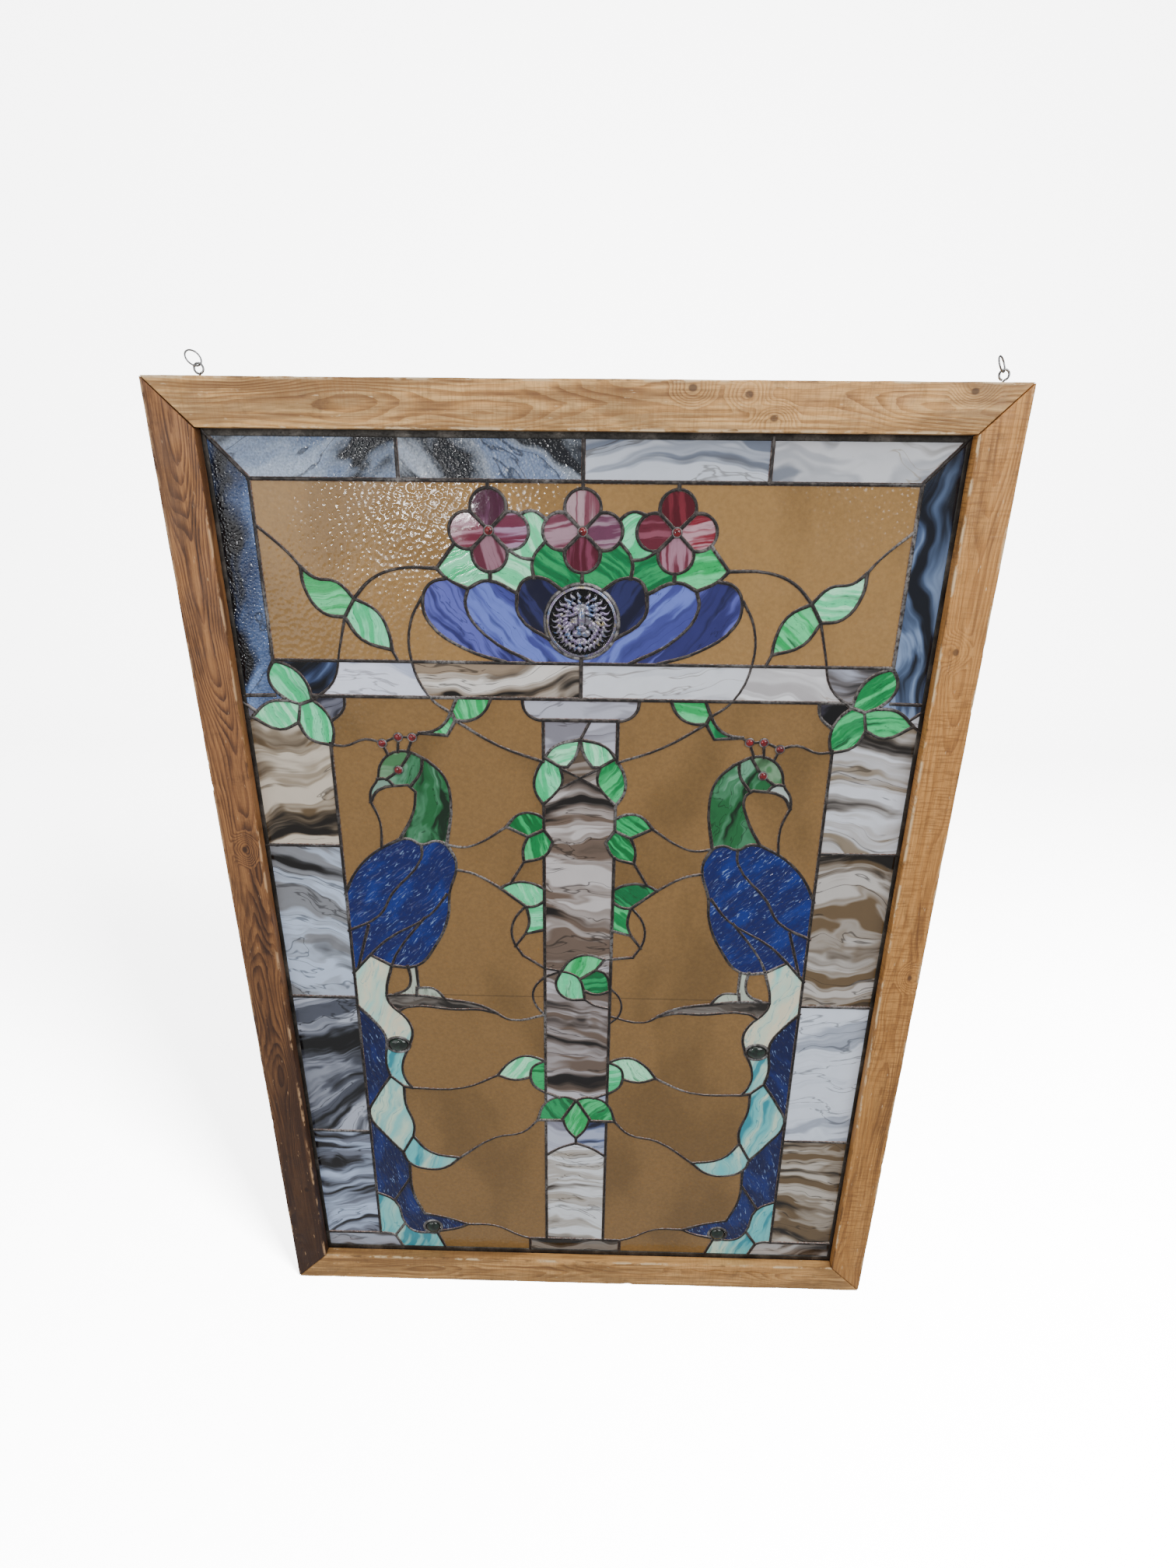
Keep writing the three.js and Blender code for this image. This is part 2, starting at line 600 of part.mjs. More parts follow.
// True where the place lies inside the closed loop.
function encloses(loop, [x, z]) {
  let inside = false;
  loop.forEach(([bx, bz], i) => {
    const [ax, az] = loop.at(i - 1);
    if (az > z !== bz > z && x < ax + ((bx - ax) * (z - az)) / (bz - az)) inside = !inside;
  });
  return inside;
}

const panel = new THREE.Group();
panel.position.set(0, -BOARD_DEPTH / 2, -hangZ);

function place(name, geometry, material) {
  const mesh = new THREE.Mesh(geometry, material);
  mesh.name = name;
  panel.add(mesh);
  return mesh;
}

function placeGlass() {
  const regions = lights(cut);
  const sheet = rectangle(fieldX - GAP, fieldLow + GAP, fieldTop - GAP);
  const field = toSolid(plate(sheet, GLASS_FRONT, glassBack));
  for (const [name, at, material] of glasses) {
    const around = ([outer, ...holes]) =>
      encloses(outer, leaned(at)) && !holes.some((hole) => encloses(hole, leaned(at)));
    const [outer, ...holes] = regions.find(around);
    const shape = shapeOf([widened(outer, TUCK, 1), ...holes.map((hole) => widened(hole, TUCK, -1))]);
    place(name, toGeometry(toSolid(plate(shape, GLASS_FRONT, glassBack)).intersect(field)), material);
  }
}

// Boards. Each has a lip in front and is narrower behind, where the panel sits in the rebate.
function boardOutline(length, width) {
  const half = length / 2 - MITRE_GAP;
  const inner = half - width;
  return outline([[-half, 0], [half, 0], [inner, width], [-inner, width]]);
}

function board(length) {
  const lip = plate(boardOutline(length, BOARD_WIDTH), 0, REBATE_FRONT);
  const body = plate(boardOutline(length, BOARD_WIDTH - REBATE_WIDTH), REBATE_FRONT - 1, BOARD_DEPTH);
  return toGeometry(toSolid(lip).add(toSolid(body)));
}

function placeBoards() {
  place("board_bottom", board(FRAME_WIDTH), goldWood);
  const top = place("board_top", board(FRAME_WIDTH), goldWood);
  top.rotation.y = Math.PI;
  top.position.z = FRAME_HEIGHT;
  const left = place("board_left", board(FRAME_HEIGHT), darkWood);
  left.rotation.y = Math.PI / 2;
  left.position.set(-FRAME_WIDTH / 2, 0, FRAME_HEIGHT / 2);
  const right = place("board_right", board(FRAME_HEIGHT), goldWood);
  right.rotation.y = -Math.PI / 2;
  right.position.set(FRAME_WIDTH / 2, 0, FRAME_HEIGHT / 2);
}

// Medallion: a cast lion mask with two rings of mane locks,
// on a disc whose rim lies behind the solder ring.
function lump(x, z, depth, [rx, ry, rz], detail, turn = 0) {
  const geometry = detail > 0 ? new THREE.IcosahedronGeometry(1) : new THREE.OctahedronGeometry(1);
  geometry.scale(rx, ry, rz);
  geometry.rotateY(-turn);
  geometry.translate(x, -depth, z);
  return toSolid(geometry);
}

// A round glass set in from behind: a flange `lip` wider than its face, which stands in the solder ring.
function setIn(radius, lip, face, steps) {
  const edge = [[radius + lip, 0], [radius + lip, GLASS_THICKNESS], [radius, GLASS_THICKNESS]];
  const profile = [[0, 0], ...edge, ...face];
  const points = profile.map(([r, y]) => new THREE.Vector2(r, y));
  const geometry = new THREE.LatheGeometry(points, steps, Math.PI / steps);
  geometry.rotateX(Math.PI);
  return geometry;
}

// Largest radius that clears the straight sides of the ring opening.
function faceRadius(openingRadius, sides) {
  return openingRadius * Math.cos(Math.PI / sides) - GAP;
}

function lionMask() {
  const radius = faceRadius(MEDALLION_RADIUS, MEDALLION_SIDES);
  const disc = setIn(radius, RING_LIP, [[radius - 2, 7.5], [radius - 5, 6], [0, 6]], MEDALLION_SIDES);
  const bits = [toSolid(disc)];
  for (const [ring, count, long, wide, depth] of [[32, 11, 9, 5, 6], [22, 8, 9, 5.5, 8]]) {
    for (let i = 0; i < count; i++) {
      const turn = ((i + 0.5) / count) * 2 * Math.PI;
      bits.push(lump(ring * Math.cos(turn), ring * Math.sin(turn), depth, [long, 4, wide], 0, turn + 0.5));
    }
  }
  bits.push(lump(0, 0, 7, [17, 7, 20], 1)); // head
  bits.push(lump(0, 1, 14, [3.2, 4, 12], 0)); // nose
  bits.push(lump(0, -17, 10, [6, 5, 6], 0)); // chin
  for (const side of [-1, 1]) {
    bits.push(lump(side * 7.5, 8, 12, [7, 3, 2.8], 0, side * 0.35)); // brow
    bits.push(lump(side * 5, -8.5, 13, [5.5, 4, 4.6], 0)); // muzzle
    bits.push(lump(side * 15, 17, 8, [6, 4, 5], 0)); // ear
  }
  return toGeometry(joined(bits));
}

function placeSetPieces() {
  const domes = [["tail_oval", OVAL_AT, OVAL_RADIUS], ["tail_nugget", NUGGET_AT, NUGGET_RADIUS]];
  const [middleX] = leaned([0, MEDALLION_Z]);
  place("lion_medallion", lionMask(), lustreGlass).position.set(middleX, glassBack, MEDALLION_Z);
  for (const [side, name] of [[1, "left"], [-1, "right"]]) {
    for (const [label, at, [rx, rz]] of domes) {
      const [x, z] = leaned([at[0] * side, at[1]]);
      const radius = faceRadius(rz, NUGGET_SIDES);
      const dome = setIn(radius, FOIL_LIP, [[0.8 * radius, 7.5], [0, 9]], NUGGET_SIDES);
      dome.scale(rx / rz, 1, 1);
      place(`${label}_${name}`, dome, blackGlass).position.set(x, glassBack, z);
    }
  }
}

// Screw eyes, each with a loop of wire through it. The origin of both is the middle of the eye.
function screwEye() {
  const ring = new THREE.TorusGeometry(EYE_RADIUS, EYE_WIRE, 5, 10);
  ring.rotateX(Math.PI / 2);
  const stem = new THREE.CylinderGeometry(EYE_WIRE, EYE_WIRE, EYE_STEM - GAP, 6);
  stem.rotateX(Math.PI / 2);
  stem.translate(0, 0, -EYE_RADIUS - (EYE_STEM - GAP) / 2);
  return toGeometry(toSolid(ring).add(toSolid(stem)));
}

function hangingLoop() {
  const geometry = new THREE.TorusGeometry(LOOP_RADIUS, LOOP_WIRE, 5, 12);
  geometry.rotateY(Math.PI / 2);
  geometry.rotateZ(LOOP_TURN);
  geometry.translate(0, 0, loopReach - LOOP_RADIUS);
  return geometry;
}

function placeHangers() {
  EYE_X.forEach((x, i) => {
    const name = i === 0 ? "left" : "right";
    place(`screw_eye_${name}`, screwEye(), steel).position.set(x, BOARD_DEPTH / 2, eyeZ);
    const loop = place(`hanging_loop_${name}`, hangingLoop(), steel);
    loop.position.set(x, BOARD_DEPTH / 2, eyeZ);
    loop.rotation.y = -LOOP_LEAN;
  });
}

placeBoards();
place("came_and_solder", toGeometry(cameAndSolder()), solderGrey);
placeGlass();
placeSetPieces();
placeHangers();

export default panel;
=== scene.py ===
import bpy
import math
import random
from mathutils import Matrix, Vector
from mathutils.bvhtree import BVHTree


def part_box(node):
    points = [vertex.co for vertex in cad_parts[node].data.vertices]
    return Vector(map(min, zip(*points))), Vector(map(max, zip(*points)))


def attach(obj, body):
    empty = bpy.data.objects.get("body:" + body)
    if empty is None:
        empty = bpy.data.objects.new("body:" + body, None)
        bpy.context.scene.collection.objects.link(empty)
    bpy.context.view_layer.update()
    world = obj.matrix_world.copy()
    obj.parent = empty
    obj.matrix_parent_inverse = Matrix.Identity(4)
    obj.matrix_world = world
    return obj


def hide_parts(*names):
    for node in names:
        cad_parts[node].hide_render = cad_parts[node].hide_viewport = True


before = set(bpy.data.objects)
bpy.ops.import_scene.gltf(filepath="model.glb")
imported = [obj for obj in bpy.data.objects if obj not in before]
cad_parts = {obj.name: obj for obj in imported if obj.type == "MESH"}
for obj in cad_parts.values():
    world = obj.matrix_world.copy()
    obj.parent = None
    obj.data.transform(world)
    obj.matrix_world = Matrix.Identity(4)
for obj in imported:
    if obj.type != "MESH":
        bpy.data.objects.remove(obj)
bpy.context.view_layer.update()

bpy.ops.object.select_all(action="DESELECT")

# Everything is placed from the CAD boxes.
frontY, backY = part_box("board_top")[0][1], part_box("board_top")[1][1]
footZ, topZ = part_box("board_bottom")[0][2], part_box("board_top")[1][2]
leftX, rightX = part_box("board_left")[0][0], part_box("board_right")[1][0]
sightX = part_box("board_right")[0][0]          # inner edge of the boards
glassFrontY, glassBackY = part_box("glass_border")[0][1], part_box("glass_border")[1][1]
glassMidY = (glassFrontY + glassBackY) / 2
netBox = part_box("came_and_solder")


# Small helpers for work on objects.
def newest():
    return bpy.context.view_layer.objects.active


def selectOnly(*things):
    bpy.ops.object.select_all(action="DESELECT")
    for thing in things:
        thing.select_set(True)
    bpy.context.view_layer.objects.active = things[0]


def deleteAll(things):
    selectOnly(*things)
    bpy.ops.object.delete()


def applyPlace(thing):
    selectOnly(thing)
    bpy.ops.object.transform_apply(location=True, rotation=True, scale=True)


def joinAll(things, name):
    selectOnly(*things)
    if len(things) > 1:
        bpy.ops.object.join()
    whole = newest()
    whole.name = whole.data.name = name
    return whole


def addModifier(thing, kind, **settings):
    modifier = thing.modifiers.new(kind.title(), kind)
    for key, value in settings.items():
        setattr(modifier, key, value)
    return modifier


def applyModifiers(thing):
    selectOnly(thing)
    for modifier in list(thing.modifiers):
        bpy.ops.object.modifier_apply(modifier=modifier.name)


def mergeDoubles(thing, distance=1e-6):
    selectOnly(thing)
    bpy.ops.object.mode_set(mode="EDIT")
    bpy.ops.mesh.select_all(action="SELECT")
    bpy.ops.mesh.remove_doubles(threshold=distance)
    bpy.ops.mesh.normals_make_consistent(inside=False)
    bpy.ops.object.mode_set(mode="OBJECT")


def pickEdges(thing, wanted):
    # Selects the edges that are wanted, for the next step in edit mode.
    selectOnly(thing)
    bpy.ops.object.mode_set(mode="EDIT")
    bpy.ops.mesh.select_mode(type="EDGE")
    bpy.ops.mesh.select_all(action="DESELECT")
    bpy.ops.object.mode_set(mode="OBJECT")
    for edge in thing.data.edges:
        edge.select = wanted(edge)
    bpy.ops.object.mode_set(mode="EDIT")


def smoothShade(thing, degrees=40):
    selectOnly(thing)
    bpy.ops.object.shade_smooth_by_angle(angle=math.radians(degrees))


def looseParts(thing):
    selectOnly(thing)
    bpy.ops.mesh.separate(type="LOOSE")
    return list(bpy.context.selected_objects)


def newBox(low, high):
    middle = [(a + b) / 2 for a, b in zip(low, high)]
    bpy.ops.mesh.primitive_cube_add(size=1, location=middle, scale=[b - a for a, b in zip(low, high)])
    box = newest()
    applyPlace(box)
    return box


def newBall(place, radii, segments=20, rings=12, rotation=(0, 0, 0)):
    bpy.ops.mesh.primitive_uv_sphere_add(segments=segments, ring_count=rings, radius=1, location=place,
                                         rotation=rotation, scale=radii)
    return newest()


def newTorus(place, radius, thickness, segments, sides, rotation=(0, 0, 0)):
    bpy.ops.mesh.primitive_torus_add(major_radius=radius, minor_radius=thickness, major_segments=segments,
                                     minor_segments=sides, location=place, rotation=rotation)
    return newest()


def curveMesh(curve):
    thing = bpy.data.objects.new(curve.name, curve)
    bpy.context.collection.objects.link(thing)
    selectOnly(thing)
    bpy.ops.object.convert(target="MESH")
    return newest()


def tube(name, points, thickness, rounding, steps, closed=False, swell=None):
    # A round wire bent smoothly through the points.
    curve = bpy.data.curves.new(name, "CURVE")
    curve.dimensions = "3D"
    curve.bevel_depth = thickness
    curve.bevel_resolution = rounding
    curve.resolution_u = steps
    curve.use_fill_caps = True
    spline = curve.splines.new("BEZIER")
    spline.bezier_points.add(len(points) - 1)
    spline.use_cyclic_u = closed
    for i, (point, place) in enumerate(zip(spline.bezier_points, points)):
        point.co = place
        point.handle_left_type = point.handle_right_type = "AUTO"
        point.radius = swell[i] if swell else 1
    return curveMesh(curve)


def setMaterial(thing, material):
    thing.data.materials.clear()
    thing.data.materials.append(material)


def finishPiece(thing, slot, *nodes):
    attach(thing, "root")
    if nodes:
        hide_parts(*nodes)


def tint(code):
    # A colour written as on a screen, for the shaders.
    parts = [int(code[i:i + 2], 16) / 255 for i in (0, 2, 4)]
    return tuple(((c + 0.055) / 1.055) ** 2.4 if c > 0.04045 else c / 12.92 for c in parts)


def feed(socket, value):
    # A socket takes a link or a plain value.
    if isinstance(value, bpy.types.NodeSocket):
        socket.id_data.links.new(value, socket)
    elif socket.type == "RGBA" and len(value) == 3:
        socket.default_value = (*value, 1)
    else:
        socket.default_value = value


# Node trees are built with this: add(kind, {socket: value or socket}, setting=...).
def nodeAdder(material):
    tree = material.node_tree

    def add(kind, sockets=None, **settings):
        node = tree.nodes.new("ShaderNode" + kind)
        for key, value in settings.items():
            setattr(node, key, value)
        for key, value in (sockets or {}).items():
            feed(node.inputs[key], value)
        return node
    return add


def newMaterial(name):
    # The material, its node adder, its shader and the place on the piece.
    material = bpy.data.materials.new(name)
    material.use_nodes = True
    add = nodeAdder(material)
    return material, add, material.node_tree.nodes["Principled BSDF"], add("TexCoord").outputs["Object"]


def wireUp(shader, **sockets):
    for name, value in sockets.items():
        feed(shader.inputs[name.replace("_", " ")], value)


def ramp(add, factor, *stops):
    node = add("ValToRGB", {"Fac": factor})
    elements = node.color_ramp.elements
    while len(elements) < len(stops):
        elements.new(0.5)
    for element, (position, code) in zip(elements, stops):
        element.position = position
        element.color = (*tint(code), 1)
    return node.outputs["Color"]


def span(add, value, low, high, outLow=0.0, outHigh=1.0):
    node = add("MapRange", {"Value": value, "From Min": low, "From Max": high,
                            "To Min": outLow, "To Max": outHigh}, interpolation_type="SMOOTHSTEP")
    return node.outputs["Result"]


def calc(add, operation, a, b=0.0):
    return add("Math", {0: a, 1: b}, operation=operation).outputs[0]


def plus(add, a, b):
    return calc(add, "ADD", a, b)


def minus(add, a, b):
    return calc(add, "SUBTRACT", a, b)


def times(add, a, b):
    return calc(add, "MULTIPLY", a, b)


def hypotenuse(add, a, b):
    return calc(add, "SQRT", plus(add, times(add, a, a), times(add, b, b)))


def blendColour(add, factor, a, b, blend="MIX"):
    return add("Mix", {0: factor, 6: a, 7: b}, data_type="RGBA", blend_type=blend).outputs[2]


def stainWith(add, colour, code, mask, strength=None):
    # One more colour laid over the rest where the mask says.
    amount = mask if strength is None else times(add, mask, strength)
    return blendColour(add, amount, colour, tint(code))


def noise(add, vector, scale, detail=2.0, roughness=0.5, distortion=0.0):
    return add("TexNoise", {"Vector": vector, "Scale": scale, "Detail": detail,
                            "Roughness": roughness, "Distortion": distortion}).outputs["Fac"]


def mapped(add, vector, scale=(1, 1, 1), shift=(0, 0, 0)):
    return add("Mapping", {"Vector": vector, "Scale": scale, "Location": shift}).outputs[0]


def vectorSum(add, a, b, operation="ADD"):
    return add("VectorMath", {0: a, 1: b}, operation=operation).outputs[0]


def bump(add, height, distance, strength=1.0, normal=None):
    sockets = {"Height": height, "Distance": distance, "Strength": strength}
    if normal is not None:
        sockets["Normal"] = normal
    return add("Bump", sockets).outputs["Normal"]


# Camera: close to the window, a little right of its middle, looking down at it.
cameraValues = dict(
    fromTopMiddle=(0.0259, -0.9512, -0.1173),  # from the middle of the top front edge
    right=(0.99974, 0.020613, 0.0097913),
    up=(-0.016532, 0.358427, 0.933411),
    back=(0.015731, -0.933330, 0.358674),
    lens=17.5, sensor=36,
)


def addCamera(values):
    data = bpy.data.cameras.new("camera")
    data.lens, data.sensor_width = values["lens"], values["sensor"]
    data.clip_start = 0.01
    camera = bpy.data.objects.new("camera", data)
    bpy.context.collection.objects.link(camera)
    turned = Matrix((values["right"], values["up"], values["back"])).transposed().to_4x4()
    topMiddle = Vector(((leftX + rightX) / 2, frontY, topZ))
    camera.matrix_world = Matrix.Translation(topMiddle + Vector(values["fromTopMiddle"])) @ turned
    bpy.context.scene.camera = camera


addCamera(cameraValues)
print("camera: placed")


# The lead net: each line is a run of stations on the drawing, in metres from its
# middle and from the foot of the frame. The upright lines lean a little, as made.
netValues = dict(
    wide=0.0048, foil=0.0050, vine=0.0040,    # widths of the beads
    standProud=0.0017,                        # how far a bead stands off the glass
    cornerTurn=0.95,                          # a sharper turn than this stays a corner
    endReach=0.0018,
    lean=0.0045, leanFrom=1.300,
    fieldX=0.442, fieldLow=0.061, fieldHigh=1.379,
    columnX=0.0495,
    petalRadius=0.022, petalOffset=0.0265, flowerZ=1.277, flowerSpacing=0.114,
    medallionZ=1.1685, medallionRadius=0.043, medallionRim=0.0062,
    ovalPlace=(-0.282, 0.5035), ovalRadius=(0.0158, 0.0118),
    nuggetPlace=(-0.250, 0.108), nuggetRadius=(0.0128, 0.0128),
    wallWidth=0.0022, wallProud=0.004,        # the gap between two panes under a bead
    ringStations=12, facingFront=-0.9, lookFrom=0.05,
    seed=11,
)
wide, foil, vine = netValues["wide"], netValues["foil"], netValues["vine"]
columnX = netValues["columnX"]
netLines = []


def placed(point):
    x, z = point
    return x - netValues["lean"] * (netValues["leanFrom"] - z), z + footZ


def line(width, *stations):
    netLines.append((width, [Vector(placed(point)) for point in stations]))


def pair(width, *stations):
    line(width, *stations)
    line(width, *[(-x, z) for x, z in stations])


def bow(start, end, rise):
    # Stations on an arc that stands off its chord, to the left of the way from start to end.
    chord = math.dist(start, end)
    half = 2 * math.atan(2 * rise / chord)
    radius = chord / (2 * math.sin(half))
    points = []
    for step in range(4):
        turn = half * (2 * step / 3 - 1)
        along = radius * math.sin(turn) / chord + 0.5
        off = radius * (math.cos(turn) - math.cos(half)) / chord
        dx, dz = end[0] - start[0], end[1] - start[1]
        points.append((start[0] + dx * along - dz * off, start[1] + dz * along + dx * off))
    return points


def drawBorder():
    line(wide, (-0.4, 1.333), (0.4, 1.333))
    pair(wide, (-0.446, 1.384), (-0.399, 1.334))
    pair(wide, (-0.399, 1.333), (-0.399, 1.112))
    line(wide, (-0.399, 1.115), (0.399, 1.115))
    pair(wide, (-0.077, 1.068), (-0.352, 1.068))
    line(wide, (-0.077, 1.068), (0.077, 1.068))
    pair(wide, (-0.448, 1.067), (-0.403, 1.068))
    pair(wide, (-0.336, 1.003), (-0.344, 0.091))
    for x in (-0.22, 0, 0.22):
        line(wide, (x, 1.382), (x, 1.333))
    for z, inner in ((0.85, -0.337), (0.592, -0.3395), (0.324, -0.342)):
        pair(wide, (-0.448, z), (inner, z))
    line(wide, (0, 1.115), (0, 1.068))
    pair(foil, (-0.311, 1.068), (-0.314, 1.05), (-0.331, 1.034))
    pair(vine, (-0.448, 1.059), (-0.431, 1.046))
    pair(vine, (-0.437, 1.038), (-0.448, 1.03))
    pair(wide, (-0.448, 0.091), (-0.344, 0.091))
    pair(wide, (-0.344, 0.091), (-0.33, 0.091), (-0.318, 0.086))
    pair(wide, (-0.318, 0.086), (-0.306, 0.058))


def drawColumn():
    pair(foil, (-0.077, 1.068), (-0.073, 1.051), (-0.058, 1.04), (-columnX, 1.0395))
    line(foil, (-columnX, 1.0395), (columnX, 1.0395))
    for top, low in ((1.04, 0.986), (0.92, 0.88), (0.839, 0.396), (0.357, 0.087)):
        pair(wide, (-columnX, top), (-columnX, low))
    line(wide, (-0.079, 0.087), (0.079, 0.087))
    pair(wide, (-0.079, 0.087), (-0.079, 0.058))
    # Wreath of four leaves and the point under it.
    pair(foil, (-0.048, 0.987), (-0.034, 1.003), (0, 1.013))
    pair(foil, (-0.048, 0.987), (-0.027, 0.974))
    pair(foil, (-0.027, 0.974), (-0.017, 0.974), (-0.006, 0.99), (0, 1.013))
    pair(foil, (-0.048, 0.987), (-0.061, 0.96), (-0.061, 0.938), (-0.05, 0.919))
    pair(foil, (-0.027, 0.974), (-0.024, 0.952), (-0.034, 0.935), (-0.05, 0.919))
    pair(vine, (-0.024, 0.971), (0, 0.958), (-0.025, 0.944))
    line(vine, (0, 1.013), (0.013, 1.039))
    # Vine leaves, upper pair.
    pair(foil, (-0.102, 0.884), (-0.084, 0.903), (-0.065, 0.905), (-columnX, 0.898))
    pair(foil, (-0.102, 0.884), (-0.072, 0.869))
    pair(foil, (-0.072, 0.869), (-columnX, 0.88))
    pair(foil, (-0.072, 0.869), (-0.079, 0.85), (-0.078, 0.83))
    pair(foil, (-columnX, 0.88), (-0.037, 0.862), (-0.048, 0.84), (-0.078, 0.83))
    # Second pair.
    pair(foil, (-0.113, 0.787), (-0.094, 0.796), (-0.07, 0.796), (-columnX, 0.787))
    pair(foil, (-0.113, 0.787), (-0.076, 0.757))
    pair(foil, (-0.076, 0.757), (-0.063, 0.758), (-columnX, 0.767))
    pair(foil, (-0.076, 0.757), (-0.072, 0.73), (-0.078, 0.711), (-columnX, 0.719))
    # Three leaves half way up, which stand off the centreline.
    line(foil, *bow((-0.025, 0.647), (0.011, 0.597), -0.025))
    line(foil, (-0.025, 0.647), (-0.008, 0.642), (0.003, 0.633), (0.009, 0.613))
    line(foil, (0.009, 0.613), (0.011, 0.597))
    line(foil, *bow((-0.025, 0.647), (0.04, 0.669), 0.017))
    line(foil, (0.003, 0.633), (0.027, 0.65))
    line(foil, (0.04, 0.669), (0.027, 0.65), (0.041, 0.644), (columnX, 0.613))
    line(foil, (0.009, 0.613), (0.028, 0.606), (columnX, 0.613))
    line(vine, (0.04, 0.669), (columnX, 0.671))
    line(vine, (0.011, 0.597), (0.027, 0.586), (columnX, 0.581))
    line(vine, (-columnX, 0.652), (-0.025, 0.647), (-columnX, 0.637))
    # Low pair.
    pair(foil, (-0.126, 0.448), (-0.106, 0.474), (-0.082, 0.487), (-columnX, 0.478))
    pair(foil, (-0.126, 0.448), (-0.1, 0.439), (-0.074, 0.445))
    pair(foil, (-columnX, 0.478), (-0.07, 0.465), (-0.074, 0.445))
    pair(foil, (-0.074, 0.445), (-0.068, 0.428), (-columnX, 0.414))
    # Three leaves low down.
    pair(foil, (0, 0.4), (-0.02, 0.406), (-0.048, 0.395), (-0.063, 0.357))
    pair(foil, (-0.063, 0.357), (-0.022, 0.357))
    pair(foil, (0, 0.4), (-0.022, 0.361))
    pair(foil, (-0.022, 0.361), (-0.014, 0.337), (0, 0.32))
    pair(vine, (-columnX, 0.415), (-0.028, 0.405))
    line(foil, (0, 0.322), (0, 0.308))
    pair(foil, (0, 0.309), (-0.028, 0.297), (-columnX, 0.281))


def drawTopVine():
    pair(vine, (-0.399, 1.281), (-0.362, 1.248), (-0.349, 1.232))
    pair(foil, (-0.349, 1.232), (-0.333, 1.219), (-0.306, 1.214), (-0.286, 1.194))
    pair(foil, (-0.349, 1.232), (-0.347, 1.206), (-0.327, 1.176), (-0.3, 1.171))
    pair(foil, (-0.286, 1.194), (-0.3, 1.171))
    pair(foil, (-0.286, 1.194), (-0.258, 1.178), (-0.245, 1.149), (-0.243, 1.13))
    pair(foil, (-0.3, 1.171), (-0.281, 1.143), (-0.243, 1.13))
    pair(vine, (-0.243, 1.13), (-0.236, 1.115))
    pair(foil, (-0.286, 1.194), (-0.262, 1.218), (-0.228, 1.231), (-0.18, 1.232))
    pair(vine, (-0.3, 1.171), (-0.311, 1.13), (-0.323, 1.088), (-0.353, 1.062))
    pair(vine, (-0.201, 1.196), (-0.217, 1.165), (-0.219, 1.117), (-0.198, 1.068), (-0.171, 1.047))
    # Leaves under the lintel.
    pair(foil, (-0.163, 1.068), (-0.171, 1.049))
    pair(foil, (-0.171, 1.049), (-0.166, 1.037))
    pair(foil, *bow((-0.166, 1.037), (-0.118, 1.068), -0.012))
    pair(foil, *bow((-0.171, 1.049), (-0.215, 1.019), 0.009))
    pair(foil, (-0.166, 1.037), (-0.178, 1.016), (-0.215, 1.019))
    pair(vine, (-0.166, 1.037), (-0.11, 1.003), (-columnX, 0.981))
    # Three leaves over the corner of the border.
    pair(foil, (-0.386, 1.061), (-0.404, 1.078), (-0.408, 1.095), (-0.399, 1.114))
    pair(foil, *bow((-0.354, 1.062), (-0.399, 1.114), -0.013))
    pair(foil, (-0.386, 1.061), (-0.413, 1.058), (-0.437, 1.038))
    pair(foil, (-0.376, 1.031), (-0.402, 1.021), (-0.437, 1.038))
    pair(foil, *bow((-0.354, 1.062), (-0.334, 1), 0.012))
    pair(foil, (-0.376, 1.031), (-0.364, 1.009), (-0.334, 1))
    pair(foil, (-0.386, 1.061), (-0.371, 1.056), (-0.376, 1.031))
    pair(foil, (-0.371, 1.056), (-0.354, 1.062))
    pair(vine, (-0.334, 1.001), (-0.318, 0.999), (-0.288, 1.009), (-0.266, 1.004))


def drawFlowers():
    radius, offset, flowerZ = netValues["petalRadius"], netValues["petalOffset"], netValues["flowerZ"]
    crossing = offset / math.sqrt(2)
    corner = crossing + math.sqrt(radius ** 2 - crossing ** 2)
    tip = corner / math.sqrt(2)
    start = math.atan2(tip - offset, tip)
    for x in (-netValues["flowerSpacing"], 0, netValues["flowerSpacing"]):
        for petal in range(4):
            facing = petal * math.pi / 2
            points = []
            for step in range(9):
                turn = start + (math.pi - 2 * start) * step / 8
                side, out = radius * math.cos(turn), offset + radius * math.sin(turn)
                points.append((x + side * math.cos(facing) - out * math.sin(facing),
                               flowerZ + side * math.sin(facing) + out * math.cos(facing)))
            line(foil, *points)
            line(foil, (x, flowerZ), points[0])
        line(wide, (x, flowerZ + offset + radius), (x, 1.333))
        line(foil, (x, flowerZ - offset - radius), (x, 1.218))
    # Leaves between the flowers and the bowl.
    pair(foil, (-0.18, 1.232), (-0.157, 1.261))
    pair(foil, (-0.06, 1.222), (-0.061, 1.244), (-0.045, 1.265))
    pair(foil, (-0.061, 1.244), (-0.076, 1.246), (-0.092, 1.256))
    pair(foil, (-0.076, 1.296), (-0.06, 1.3), (-0.044, 1.29))


def drawBowl():
    pair(foil, (-0.142, 1.208), (-0.168, 1.22), (-0.18, 1.232))
    pair(foil, (-0.168, 1.22), (-0.19, 1.213), (-0.2, 1.19), (-0.192, 1.164), (-0.15, 1.133),
         (-0.098, 1.116))
    pair(foil, (-0.142, 1.208), (-0.146, 1.186), (-0.122, 1.15), (-0.062, 1.116))
    pair(foil, (-0.142, 1.208), (-0.118, 1.218), (-0.081, 1.203))
    pair(foil, (-0.081, 1.203), (-0.079, 1.175), (-0.04, 1.146))
    pair(foil, (-0.081, 1.203), (-0.072, 1.219), (-0.05, 1.222), (-0.025, 1.207))
    line(foil, (0, 1.114), (0, 1.124))


